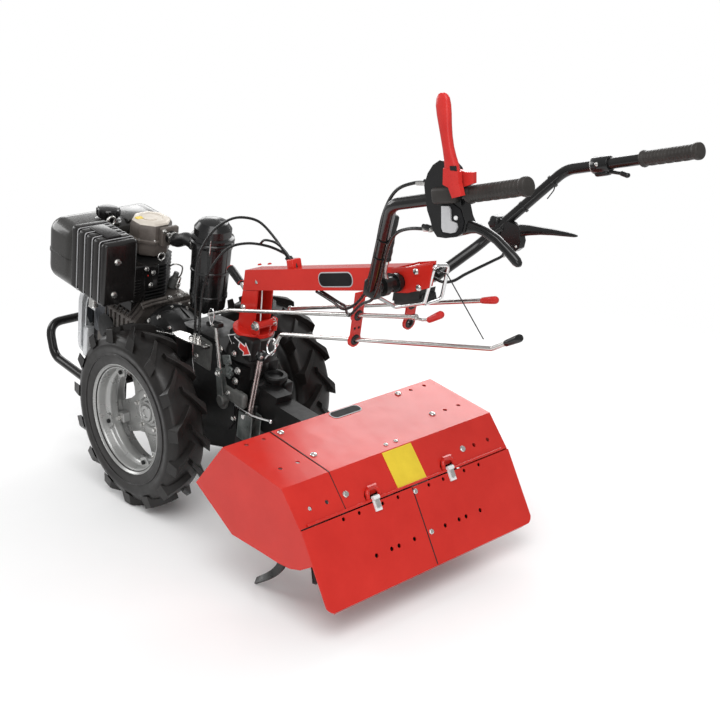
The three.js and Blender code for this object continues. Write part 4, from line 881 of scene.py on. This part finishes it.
lining = [(a * 0.9 + 4, 105 + (b - 105) * 0.7) for a, b in lens]
arm.plate("iron", (4, 0, 201.5), (-1, 0, 0.13), Y, lining, -3)
arm.bolts(Z, 7, 7, (-58, 104, 212))
arm.bolts(Z, 5, 10, (-84, 103, 214))
for x in (-68, -84):
    arm.bar("zinc", (x, 101, 208), (x, 101, 232), 4.4)
spring = [(-70, 108, 212), (-76, 110, 180), (-80, 108, 150), (-86, 104, 118)]
arm.tube("chrome", curve_through(spring, 6), 1.6, 8)
arm.done(0.5)

box = Piece("gearbox_fittings", "root", "black_casting")
FACE_Y = 62
side_cover = [(-196, 36), (-182, 176), (-92, 208), (-60, 190), (-40, 60), (-70, -20), (-180, 8)]
box.side_plate("cast_black", side_cover, 56, 63)
box.soft_box("cast_grey", (-92, 56, 128), (-20, 69, 204), 8)
box.soft_box("cast_grey", (-230, 48, 84), (-146, 68, 124), 10)
boss = [(0, 20), (12, 20), (15, 17), (15, 9), (19, 8), (19, 0.1)]
box.turned("cast_grey", (-150, 56, 74), Y, boss, 28)
for x, y, z, radius in (
        (-124, 63, 204, 6), (-175, 62, 214, 5.5), (-194, 62, 176, 7), (-190, 64, 147, 7), (-192, 60, 45, 6),
        (-66, 69, 190, 6), (-40, 69, 150, 6), (-172, 68, 108, 5), (-62, 62, -40, 7)):
    box.bolts(Y, radius, 6, (x, y, z))
box.soft_box("galvanised", (-168, FACE_Y, 176), (-136, 67, 200), 2, turn=about_y(24))
box.soft_box("galvanised", (-176, FACE_Y, 146), (-150, 70, 178), 3, turn=about_y(-12))
box.turned("galvanised", (-160, FACE_Y, 186), Y, [(0, 9), (9, 9), (9, 5), (14, 5), (14, 0.1)], 20)
box.turned("galvanised", (-172, FACE_Y, 160), Y, [(0, 8), (12, 8), (12, 4), (16, 4), (16, 0.1)], 20)
box.turned("cast_black", (-164, 0, 196), Z, [(0, 62), (18, 58), (44, 49), (56, 49), (60, 46)], 40)
for centre in ring(Vector((-164, 0, 219)), X, Y, spokes(6, radians(15)), 46):
    box.soft_box("cast_black", centre - Vector((5, 5, 29)), centre + Vector((5, 5, 29)), 3)
box.turned("cast_black", (-226, -30, 74), Z, [(0, 26), (70, 26), (72, 24)])
eye = [(0, 30), (3, 31), (10, 31), (13, 28), (13, 20), (6, 18), (6, 0.1)]
box.turned("cast_black", (-226, -30, 146), Z, eye)
box.soft_box("cast_black", (-262, -62, 112), (-232, -34, 146), 6)
box.soft_box("cast_black", (-240, -48, 54), (-196, 34, 92), 8)
box.turned("cast_black", (-215, 0, 110), -X, [(0, 40), (12, 38), (16, 34), (22, 33), (24, 0.1)])
box.soft_box("cast_black", (-222, 18, 204), (-132, 51, 262), 8)
ARROW = (-177, 51, 236), (-0.985, 0, -0.17), (-0.17, 0, 0.985)
for look, way in (("plate", -1), ("red_plastic", 1)):
    for shade, tip, neck, wing, half, start, thickness in (
            ("white", 46, 19.5, 19.4, 9.6, 0.4, 0.6), (look, 42, 22, 15, 7, 2, 1.0)):
        upper = [(way * neck, wing), (way * neck, half), (way * start, half)]
        arrow = [(way * tip, 0), *upper, *[(a, -b) for a, b in upper[::-1]]]
        box.plate(shade, *ARROW, arrow[::way], thickness)
box.done(1.2)

hitch = Piece("hitch_fittings", "root", "zinc_steel", ("hitch_lever",))
LEVER_Y = 44
for low, high in ((-16, -12.5), (12.5, 16)):
    hitch.soft_box("galvanised", (-258, LEVER_Y + low, 2), (-206, LEVER_Y + high, 74), 1.6)
hitch.soft_box("galvanised", (-258, LEVER_Y - 16, 0), (-206, LEVER_Y + 16, 5), 2)
hitch.tube("chrome", [(-196, LEVER_Y + 20, 84), (-250, LEVER_Y + 8, 76), (-296, LEVER_Y - 12, 78)], 2.8)
hitch.ball("chrome", (-296, LEVER_Y - 12, 78), 6)
for y in (LEVER_Y + 4.5, LEVER_Y - 4.5):
    hitch.tube("pink_zinc", [(-250, y, 226), (-226, y, 32)], 3.6, 10)
blank = [(-252, 226), (-247, 226), (-223.5, 32), (-228.5, 32)]
hitch.side_plate("pink_zinc", blank, LEVER_Y - 5, LEVER_Y + 5)
hitch.ball("plastic", (-252, LEVER_Y, 238), 14, 24)
hitch.bolts((-0.8, 0.6, 0), 3.4, 3, (-262, LEVER_Y + 8, 240))
hitch.bar("zinc", (-228, 24.3, 66), (-228, LEVER_Y + 20, 66), 6)
hitch.done(0.4)

link = Piece("brake_rod", "root", "zinc_steel", ("brake_link",))
link.tube("zinc", [(-108, 72, 262), (-141, 72, 150)], 5.4, 16)
for y in (64, 77):
    link.side_plate("galvanised", [(-131, 160), (-147, 163), (-168, 92), (-160, 74), (-148, 76)], y, y + 3.5)
link.turned("cast_grey", (-158, 58.4, 84), Y, [(0, 14), (22, 14), (25, 11), (26, 0.1)], 24)
link.bolts(Y, 6, 5, (-141, 80, 150))
link.bar("zinc", (-108, 54, 264), (-108, 84, 264), 4.5)
clip = [(-106, 83, 262), (-107, 82, 272), (-110, 81, 288), (-105, 81, 303), (-96, 81, 304), (-89, 81, 290),
        (-96, 82, 275), (-103, 83, 265)]
link.tube("chrome", curve_through(clip, 6), 1.7, 8)
link.soft_box("iron", (-124, 58, 256), (-78, 80, 268), 4, turn=about_y(14))
link.done(0.3)


# ---------------------------------------------------------------- column, beam and clamp
BEAM_RUN, BEAM_RISE = 521, 207
BEAM_SLOPE = atan2(BEAM_RISE, BEAM_RUN)
BEAM_ALONG = Vector((-cos(BEAM_SLOPE), 0, sin(BEAM_SLOPE)))
BEAM_UP = Vector((BEAM_ALONG.z, 0, -BEAM_ALONG.x))


def on_beam(x, y=24.9):
    """A point on the beam's centre line, moved out to its side."""
    return Vector((x, y, 385 + BEAM_RISE / BEAM_RUN * (-143 - x)))


for name, width in (("steering_column", 1.8), ("handlebar_beam", 2.6), ("rear_clamp", 1.6),
                    ("rod_hanger_front", 1.0), ("rod_hanger_rear", 1.0), ("damper_block", 2.5)):
    soften_nodes(width, 3, name)

column = Piece("column_fittings", BODY_OF["steering_column"], "zinc_steel")
column.studs(Y, 9, 7, (-150, 25, 318))
column.bolts(Y, 5, 4, (-188, 22, 398))
column.bar("red", (-205, 26, 292), (-205, -30, 292), 9)
for y in (20, -34):
    column.soft_box("red", (-212, y, 268), (-196, y + 9, 302), 3)
column.bolts(Y, 9, 8, (-205, 29, 292))
column.bolts(Y, 8, 7, (-207, -25, 292))
column.turned("cast_grey", (-164, 0, 258), Z, [(-6, 52), (-1, 52)], 48)
column.turned("red", (-164, 0, 257.6), Z, [(0, 50.2), (8.6, 50.2), (9.9, 48.6), (9.9, 20)], 64)
column.tube("zinc", [(-141, 4, 338), (-98, 0, 360)], 4.4, 14)
knob = [(0, 7), (3, 9.6), (40, 10.6), (50, 10), (54, 7), (55, 0.1)]
column.turned("plastic", (-103, 0, 357.5), (46, 0, 23), knob, 28)
column.tube("white", [(-200, 12, 300), (-196, 10, 350), (-190, 8, 392)], 1.6, 8)
column.done(0.4)

beam = Piece("beam_fittings", BODY_OF["handlebar_beam"], "black_plastic")
# The third row is a near-black slot, painted shade in an opening in the beam.
for look, x, low, high, radius, thickness in (
        ("border", -450, (-57, -17), (57, 17), 15, 0.9), ("plate", -450, (-54.5, -14.5), (54.5, 14.5), 13,
            1.4),
        ("void", -606, (-14, -13), (22, 13), 5, 0.5)):
    beam.plate(look, on_beam(x), BEAM_ALONG, BEAM_UP, rounded_outline(low, high, radius), thickness)
beam.studs(BEAM_UP, 5, 3, (-165, 0, 429.4), (-200, 0, 444.4), look="red")
beam.soft_box("red", (-296, -14, 466), (-272, 14, 489), 4, turn=about_y(21.6))
for y in (5, -6):
    beam.bar("plastic", (-262, y, 484), (-278, y, 478), 4.6)
loom = [(-284, 8, 484), (-262, 12, 502), (-230, 16, 512), (-196, 18, 506), (-180, 16, 492)]
beam.tube("plastic", curve_through(loom, 6), 3, 10)
beam.tube("cable", curve_through([(-300, 3, 468), (-290, 3, 484), (-276, 3, 488)], 6), 3, 10)
beam.done(0.4)

clamp = Piece("clamp_fittings", BODY_OF["rear_clamp"], "zinc_steel")
clamp.studs(Y, 7.2, 5, (-694, 40, 623), (-708, 40, 592))
clamp.bolts(-Y, 6.5, 5, (-662, -40, 606))
clamp.bar("zinc", (-640, -30, 600), (-640, 30, 600), 6)
clamp.soft_box("rubber", (-722, -8, 542), (-632, 34, 562), 5, turn=about_y(24))
clamp.soft_box("iron", (-668, -34, 584), (-640, 34, 606), 3)
clamp.plate("red", (-622, -36, 597), (-50, 0, 25.5), Y, rectangle((0, 0), (58, 73)), 4)
clamp.tube("plastic", [(-729, 33, 640), (-770, 34, 646), (-776, 34, 642), (-890, 34, 553)], 1.3, 6)
clamp.done(0.3)
for cut, node, high in (
        ("clamp_cuts", "rear_clamp", (-674, 34, 720)), ("pad_cuts", "damper_block", (-640, -6, 600))):
    cuts = Piece(cut, BODY_OF[node])
    cuts.box("void", (-770, -60, 480), high)
    cut_nodes(cuts, node)


# ---------------------------------------------------------------- control rods
RIGHT_Y = -52


def rod_piece(name, node, run, knob_from, knob_to, knob_look):
    piece = Piece(name, BODY_OF[node], "zinc_steel", (node,))
    piece.tube("zinc", run, 4.9, 18)
    a, b = Vector(knob_from), Vector(knob_to)
    length = (b - a).length
    profile = [(0, 5.2), (2, 6.4), (length * 0.25, 7.0), (length * 0.7, 8.0), (length - 5, 8.0),
               (length - 1.6, 6), (length, 2.6), (length + 0.3, 0.1)]
    piece.turned(knob_look, a, b - a, profile, 28)
    return piece


upper = bent_through([(-61, 58, 270), (-132, 50, 308), (-704, 30, 523)], 26, 8)
rod = rod_piece("rod_upper", "control_rod_upper", upper, (-738, 30, 530), (-773, 30, 559), "red_plastic")
rod.tube("zinc", bent_through([(-690, 30.6, 517.7), (-722, 30, 524), (-740, 30, 532)], 5), 3)
rod.turned("zinc", (-700, 30.2, 521.5), (-572, 0, 215), [(-4, 6.6), (5, 6.6)], 18)
rod.done()
lower = bent_through([(-290, 36, 286), (-304, 36, 314), (-914, 34, 543), (-945, 34, 568)], 14, 8)
rod = rod_piece("rod_lower", "control_rod_lower", lower, (-944, 34, 567), (-980, 34, 596), "plastic")
loop = [(-288, 38, 288), (-296, 42, 276), (-294, 44, 262), (-284, 45, 254), (-272, 44, 260), (-268, 42, 274),
        (-274, 40, 290), (-286, 38, 292), (-294, 38, 280), (-286, 40, 262), (-276, 44, 250), (-270, 46, 240)]
rod.tube("chrome", curve_through(loop, 6), 2.0, 8)
rod.ball("zinc", (-289, 36, 284), 7.5)
rod.done()
right = bent_through([(-230, RIGHT_Y, 331), (-412, RIGHT_Y, 411), (-803, RIGHT_Y, 583)], 60, 8)
knob = (-800, RIGHT_Y, 582), (-840, RIGHT_Y, 599.5)
rod = rod_piece("rod_right", "control_rod_right", right, *knob, "red_plastic")
rod.ball("zinc", (-231, RIGHT_Y, 331), 7)
rod.done()

grommets = Piece("hanger_grommets", BODY_OF["rod_hanger_front"], "black_rubber")
GROMMET = [(-4.6, 6.4), (-5, 10), (-3.6, 12.6), (3.6, 12.6), (5, 10), (4.6, 6.4)]
for at in ((-540, 34, 461), (-540, 34.6, 403)):
    grommets.turned("rubber", at, X, GROMMET, 28, closed=True)
# Near-black discs are painted shade in the hanger's holes.
for y in (40, 28):
    grommets.turned("void", (-542.9, y, 431), -X, [(-1, 3), (0.2, 3), (0.2, 0.1)], 14)
for at in ((-612, RIGHT_Y, 499), (-612, RIGHT_Y, 455)):
    grommets.turned("rubber", at, X, GROMMET, 28, closed=True)
grommets.done()

stirrup = Piece("stirrup_wire", BODY_OF["wire_stirrup"], "chrome_wire", ("wire_stirrup",))
near = [(-572, 29.6, 548), (-580, 29.6, 522), (-644, 31, 521), (-721, 31, 562), (-733, 31, 650),
        (-733, -11, 642), (-728, -11, 566), (-715, 22, 555.5)]
far = [(-572, -29.6, 548), (-580, -29.6, 522), (-644, -31, 519), (-690, -24, 540), (-714, -2, 556)]
for side_run in (near, far):
    stirrup.tube("chrome", bent_through(side_run, 13, 8), 3.9, 14)
stirrup.done()


# ---------------------------------------------------------------- handles
FOOT, BEND, END = Vector((-653, 118, 581)), Vector((-799, 250, 834)), Vector((-1092, 248, 965))
FAR_FOOT = [(-668, -56, 586), (-688, -150, 645)]
HANDLES = BODY_OF["handle_tube_left"]


def mirror(point, side):
    return Vector((point[0], point[1] * side, point[2]))


def along_grip(distance, side=1, offset=(0, 0, 0)):
    return mirror(END + (BEND - END).normalized() * distance, side) + Vector(offset)


def up_tube(distance, side=1, offset=(0, 0, 0)):
    return mirror(FOOT + (BEND - FOOT).normalized() * distance, side) + Vector(offset)


def strap(piece, at, along, radius=13.4):
    piece.turned("plastic", at, along, [(-2.4, radius), (2.4, radius)], 20)
    head = at + frame_about(along)[0] * radius
    piece.soft_box("plastic", head - Vector((3, 3, 3)), head + Vector((3, 3, 3)), 1.4)


for name, side in (("left", 1), ("right", -1)):
    tube = Piece("handle_run_" + name, HANDLES, "black_tube", ("handle_tube_" + name,))
    foot = [FOOT] if side > 0 else FAR_FOOT
    tube.tube("black", bent_through([*foot, mirror(BEND, side), mirror(END, side)], 60, 12), 11.4, 24)
    run_up = (mirror(BEND, side) - mirror(FOOT, side)).normalized()
    for distance in (140, 205):
        strap(tube, up_tube(distance, side), run_up)
    tail = [(-10, 6 * side, 6), (-24, 10 * side, -12), (-30, 12 * side, -32)]
    tube.tube("plastic", [up_tube(140, side, offset) for offset in tail], 1.2, 6)
    if side < 0:
        outer = (4, -9, 12)
        run = [*[up_tube(distance, -1, outer) for distance in (70, 130, 230)],
               mirror(BEND, -1) + Vector((-24, -12, 8)), along_grip(250, -1, (0, -10, 13))]
        tube.tube("cable", curve_through(run, 8), 2.6, 10)
        strap(tube, up_tube(285, -1), run_up, 14)
        tail = [(-12, 4, 8), (-10, 4, -16), (2, 4, -38)]
        tube.tube("plastic", [up_tube(285, -1, offset) for offset in tail], 1.3, 6)
    else:
        tube.soft_box("black_satin", FOOT - Vector((20, 12, 14)), FOOT + Vector((16, 12, 22)), 6)
    tube.done()
    grip = Piece("grip_rubber_" + name, HANDLES, "black_rubber", ("grip_" + name,))
    profile = [(-4.6, 6), (-4.4, 12), (-3, 15.4), (-0.5, 16.8), (5, 17), (9, 16), (11, 14.8)]
    for start in (12 + 8.2 * i for i in range(13)):
        profile += [(start, 14.2), (start + 2, 14.7), (start + 5.6, 14.7), (start + 7.6, 14.2)]
    profile += [(120, 14.6), (123, 16.6), (126, 17), (129, 16), (131, 13), (131, 11.5)]
    grip.turned("grip", mirror(END, side), mirror(BEND - END, side), profile, 36)
    for distance in range(24, 101, 19):
        at = along_grip(distance, side, (0, 0, -11))
        grip.soft_box("grip", at - Vector((9, 9, 5)), at + Vector((9, 9, 7)), 5, turn=about_y(24))
    grip.done()

yoke = Piece("yoke_bar", BODY_OF["yoke_tube"], "black_tube", ("yoke_tube",))
yoke.bar("black", (-653, -60, 585), (-653, 113, 585), 15, sides=32)
for y in (52, -51):
    yoke.turned("black_satin", (-653, y, 585), Y, [(-6, 20), (6, 20)])
yoke.done(0.6)


# ---------------------------------------------------------------- hand controls
def soft_power(value, power=0.75):
    return copysign(abs(value) ** power, value)


def oval_loft(piece, look, stations, y, sides=20):
    """A body whose cross-section is an oval, at stations of x, z, half width and half thickness."""
    loops = []
    centres = [Vector((x, y, z)) for x, z, _, _ in stations]
    for i, (_, _, wide, thick) in enumerate(stations):
        ahead = (centres[min(i + 1, len(centres) - 1)] - centres[max(i - 1, 0)]).normalized()
        across = ahead.cross(Y).normalized()
        loops.append([centres[i] + across * wide * soft_power(cos(a)) + Y * thick * soft_power(sin(a))
                      for a in spokes(sides)])
    piece.rings(look, loops)


lever = Piece("clutch_hand_lever", HANDLES, "red_plastic", ("clutch_lever",))
oval_loft(lever, "red_plastic", [
    (-900.4, 1069.5, 4, 3), (-901, 1067, 9, 5), (-903, 1061, 13, 7), (-906, 1050, 15, 8),
    (-911, 1035, 14.5, 8),
    (-917, 1018, 12.5, 7.6), (-924, 1000, 11, 7.4), (-931, 984, 10.6, 7.4), (-938, 970, 11.5, 8),
    (-944, 958, 14, 8), (-949, 946, 16, 8), (-951, 938, 15, 7)], 271)
root = [(-934, 950), (-968, 954), (-973, 936), (-984, 917), (-964, 906), (-952, 921), (-939, 922)]
heel = [(-955, 952), (-972, 953), (-989, 958), (-993, 940), (-976, 929), (-962, 922)]
lever.side_plate("red_plastic", root, 270, 280)
lever.side_plate("red_plastic", heel, 257, 265)
# A near-black patch on the lever is painted shade in a notch.
lever.plate("void", (0, 280.4, 0), X, Z, [(-948, 958), (-963, 963), (-966, 955), (-951, 951)], 0.6)
lever.done(1.0)

bracket = Piece("clutch_bracket_body", HANDLES, "black_plastic", ("clutch_bracket",))
outline = [(-880, 900), (-884, 922), (-893, 940), (-907, 953), (-924, 955), (-940, 948), (-956, 925),
           (-969, 897),
           (-980, 876), (-989, 866), (-988, 850), (-972, 836), (-948, 825), (-928, 820), (-916, 828),
           (-905, 846), (-896, 858), (-886, 882)]
bracket.side_plate("plastic", outline, 237, 261)
bracket.soft_box("grip", (-963, 226, 885), (-905, 271, 913), 6, turn=about_y(20.5))
insert = [(-931, 879), (-947, 884), (-952, 880), (-957, 861), (-970, 861), (-974, 855), (-971, 845),
          (-962, 840), (-944, 836), (-939, 842)]
bracket.plate("border", (0, 266.4, 0), X, Z, insert, 4)
backing = [(-927, 884), (-950, 891), (-972, 886), (-984, 868), (-983, 850), (-966, 833), (-940, 829),
    (-932, 840)]
bracket.plate("plate", (0, 263, 0), X, Z, backing, 2)
bracket.studs(Y, 4.0, 4, (-966, 263, 869), look="white")
bracket.soft_box("plastic", (-962, 240, 884), (-900, 262, 904), 5, turn=about_y(20.5))
for at in ((-884, 250, 903), (-896, 250, 824)):
    bracket.turned("plastic", at, (1, 0, -0.1), [(-6, 6), (6, 6), (7, 4.6), (14, 4.4)], 20)
for start, end in (((-853, 250, 892.5), (-880, 250, 901)), ((-884, 249, 817), (-906, 249.5, 824))):
    bracket.tube("zinc", [start, end], 4.0, 14)
    bracket.turned("zinc", end, Vector(end) - Vector(start), [(-9, 5.6), (-3, 5.6)], 6)
oval_loft(bracket, "plastic", [
    (-950, 846, 9, 5), (-962, 850, 14, 8), (-978, 855, 14, 9), (-992, 859.5, 11, 9), (-1007, 862.5, 8.6, 8.8),
    (-1026, 862.5, 8, 8.4), (-1052, 857.5, 7.8, 8.2), (-1076, 848, 7.6, 8), (-1090, 841.5, 8.2, 8),
    (-1100, 836.5, 8.2, 7.6), (-1106, 833.5, 6, 6), (-1109, 832, 2.4, 3)], 250)
# A near-black line along the side is painted shade in the bracket's seam groove.
seam = [(-985, 259.3, 859), (-1007, 259.4, 864), (-1026, 259.2, 864), (-1052, 259, 859),
        (-1076, 258.6, 849.5), (-1092, 258, 841)]
bracket.tube("void", curve_through(seam, 5), 1.0, 6)
bracket.done(0.9)

paddle = Piece("right_bracket_body", HANDLES, "black_plastic", ("right_bracket",))
outline = [(-684, 690), (-690, 702), (-698, 708), (-712, 710), (-740, 711), (-766, 713), (-773, 706),
           (-775, 690),
           (-779, 682), (-778, 666), (-768, 655), (-752, 646), (-738, 645), (-728, 656), (-712, 668),
           (-696, 677)]
paddle.side_plate("plastic", outline, -189, -171)
oval_loft(paddle, "plastic", [
    (-764, 700, 13, 9), (-790, 710, 11, 8), (-820, 719, 8, 7), (-850, 727, 6.4, 6), (-880, 734, 5, 5),
    (-902, 738.6, 3.4, 4), (-909, 740, 1.6, 2)], -180)
paddle.studs(Y, 3, 3, (-770, -171, 668))
paddle.soft_box("plastic", (-716, -198, 684), (-692, -162, 712), 7)
paddle.bar("zinc", (-736, -180, 642), (-735, -178, 630), 4.4)
paddle.done(1.6, 3)

throttle = Piece("throttle_body", HANDLES, "black_plastic", ("throttle_clamp",))
axis = mirror(BEND - END, -1)
sleeve = [(0, 12), (0, 15), (2, 16), (14, 16.6), (18, 17.4), (38, 17.4), (41, 16), (41, 12)]
throttle.turned("plastic", along_grip(206, -1), axis, sleeve, 36)
throttle.turned("zinc", along_grip(246, -1), axis, [(-0.9, 17.6), (0.9, 17.6)], 36)
throttle.studs(Y, 4.6, 4, along_grip(230, -1, (0, 16, 3)))
throttle.soft_box("plastic", (-906, -262, 850), (-872, -240, 868), 6, turn=about_y(24))
thumb = [(-896, -250, 862), (-912, -246, 866), (-930, -244, 870), (-942, -244, 872)]
throttle.tube("plastic", curve_through(thumb, 6), 3.6)
throttle.soft_box("plastic", (-956, -250, 867), (-934, -238, 877), 4.6)
throttle.done(0.6)

lock = Piece("height_lock", HANDLES, "chrome_wire", ("height_lock_lever",))
LOCK_LEAN = (-6, 0, 100)
lock.turned("iron", (-653, 88, 585), Y, [(-7, 16), (-7, 21.6), (7, 21.6), (7, 16)], 36)
lock.tube("pink_zinc", bent_through([(-662, 88, 596), (-651, 88, 612), (-652, 88, 645)], 12), 6, 18)
ribs = [(along, 10.4 if along % 20 == 0 else 9.4) for along in range(10, 71, 10)]
handle = [(0, 7), (2, 10.4), *ribs, (80, 10.6), (96, 10.4), (100, 7), (101, 0.1)]
lock.turned("rubber", (-652, 88, 640), LOCK_LEAN, handle, 28)
lock.turned("zinc", (-651.6, 88, 634), LOCK_LEAN, [(0, 7.4), (6, 7.4)], 20)
lock.done(0.4)


# ---------------------------------------------------------------- control cables
# Each cable rides on two bodies, and bends between the two points that follow them.
SWIVEL, RAISED = "handlebar_swivel_body", "handles_body"
CABLES = {
    "clutch_cable_front": ("root", SWIVEL, (-30, 84, 353), (-219, 8, 517), [
        (-68, 101, 213), (-52, 93, 297), (-31, 84, 353), (-21, 70, 412), (-39, 50, 474), (-78, 36, 516),
        (-119, 25, 536), (-169, 15, 540), (-219, 8, 517), (-258, 5, 491), (-273.5, 5, 482)]),
    "brake_cable_front": ("root", SWIVEL, (-53, 74, 347), (-220, -5, 487), [
        (-84, 101, 213), (-60, 84, 296), (-53, 74, 347), (-64, 59, 400), (-94, 42, 452), (-141, 25, 479),
        (-193, 6, 488), (-240, -5, 486), (-274.5, -6, 480)]),
    "clutch_cable_rear": (SWIVEL, RAISED, (-560, 84, 505), (-700, 170, 690), [
        (-385, 16, 450.8), (-455, 30, 457), (-516, 56, 470), (-577, 84, 511), (-620, 104, 558),
        (-634, 117, 586),
        (-658, 134.5, 620), (-713, 184, 715), (-763, 229, 802), (-805, 250, 862), (-845, 250, 890),
        (-884.3, 249.5, 903)]),
    "brake_cable_rear": (SWIVEL, RAISED, (-577, 92, 490), (-698, 146, 625), [
        (-385, 4, 450.8), (-455, 12, 452), (-490, 26, 460), (-520, 48, 462), (-545, 67, 469), (-577, 92, 490),
        (-625, 113, 538), (-656, 121, 560), (-677, 131, 587), (-698, 146, 625), (-727, 172, 675),
        (-759, 200, 730), (-796, 224, 773), (-845, 242, 803), (-904.6, 249.5, 824)]),
    "brake_cable_right": (SWIVEL, RAISED, (-700, -14, 625), (-742, -160, 625), [
        (-632.5, -12, 599), (-655, -12, 603), (-690, -14, 600), (-716, -20, 597), (-728, -40, 600),
        (-730, -70, 609), (-732, -110, 618), (-733, -150, 626), (-735, -172, 632), (-736, -180, 640.8)]),
}
for name, (near_body, far_body, start, end, points) in CABLES.items():
    cable = Piece(name + "_sheath", None, "cable_black", (name,))
    cable.tube("cable", curve_through(points, 8), 3.2)
    bent = cable.done()
    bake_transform(bent, near_body, far_body, CHASSIS @ Vector(start), CHASSIS @ Vector(end))


# ---------------------------------------------------------------- stage and light
FLOOR_RADIUS = 6.0
FLOOR_DROP = 0.0005
FLOOR_FADE = (1.0, 2.1)


def make_floor():
    """White paper that fades into the white behind it."""
    bpy.ops.mesh.primitive_circle_add(
        vertices=96, radius=FLOOR_RADIUS, fill_type="NGON", location=(0, 0, -FLOOR_DROP))
    floor = bpy.context.object
    floor.name = "floor"
    material, tree, shader = node_material("floor_paper")
    paper = blend_of(tree, noise(tree, 3, 3, 0.5), 0.93, 0.95)
    wire(tree, shader, {"Base Color": paper, "Roughness": 0.9})
    place = wire(tree, "TexCoord", {}).outputs["Object"]
    length = tree.nodes.new("ShaderNodeVectorMath")
    length.operation = "LENGTH"
    tree.links.new(place, length.inputs[0])
    fade = wire(tree, "MapRange", {
        "Value": length.outputs["Value"], "From Min": FLOOR_FADE[0], "From Max": FLOOR_FADE[1]})
    fade.interpolation_type = "SMOOTHSTEP"
    mix = tree.nodes.new("ShaderNodeMixShader")
    clear = wire(tree, "BsdfTransparent", {})
    for socket, source in zip(mix.inputs, (fade.outputs["Result"], shader.outputs["BSDF"],
            clear.outputs["BSDF"])):
        tree.links.new(source, socket)
    wire(tree, tree.nodes["Material Output"], {"Surface": mix.outputs["Shader"]})
    floor.data.materials.append(material)


def make_world(diffuse_level, glossy_level):
    """Plain white behind the object; its light on the object is softer."""
    world = bpy.data.worlds.new("studio")
    bpy.context.scene.world = world
    world.use_nodes = True
    tree = world.node_tree
    path = wire(tree, "LightPath", {})
    level = diffuse_level
    for ray, strength in (("Glossy", glossy_level), ("Transmission", 1.0), ("Camera", 1.0)):
        flag = path.outputs["Is %s Ray" % ray]
        level = wire(tree, "MapRange", {"Value": flag, "To Min": level, "To Max": strength}).outputs["Result"]
    wire(tree, tree.nodes["Background"], {"Color": (1, 1, 1, 1), "Strength": level})


def area_light(name, at, aim, size, power):
    data = bpy.data.lights.new(name, "AREA")
    data.shape = "RECTANGLE"
    data.size, data.size_y = size
    data.energy = power
    lamp = add_object(name, data)
    lamp.location = at
    lamp.rotation_mode = "QUATERNION"
    lamp.rotation_quaternion = (Vector(aim) - Vector(at)).to_track_quat("-Z", "Y")


make_floor()
make_world(0.6, 0.45)
area_light("key", (-1.6, 1.2, 3.2), (0, 0, 0.4), (2.4, 2.4), 62)
area_light("side", (-2.6, 3.0, 1.2), (0, 0, 0.4), (2.0, 2.0), 23)
area_light("rim", (0.96, -2.4, 1.9), (-0.2, 0, 0.3), (1.7, 1.2), 32)
area_light("back", (3.2, -1.7, 1.6), (0.5, 0, 0.6), (1.6, 1.0), 14)
area_light("front", (2.9, 0.9, 1.5), (0.5, 0.1, 0.6), (1.6, 1.4), 26)
bpy.context.scene.view_settings.view_transform = "Standard"
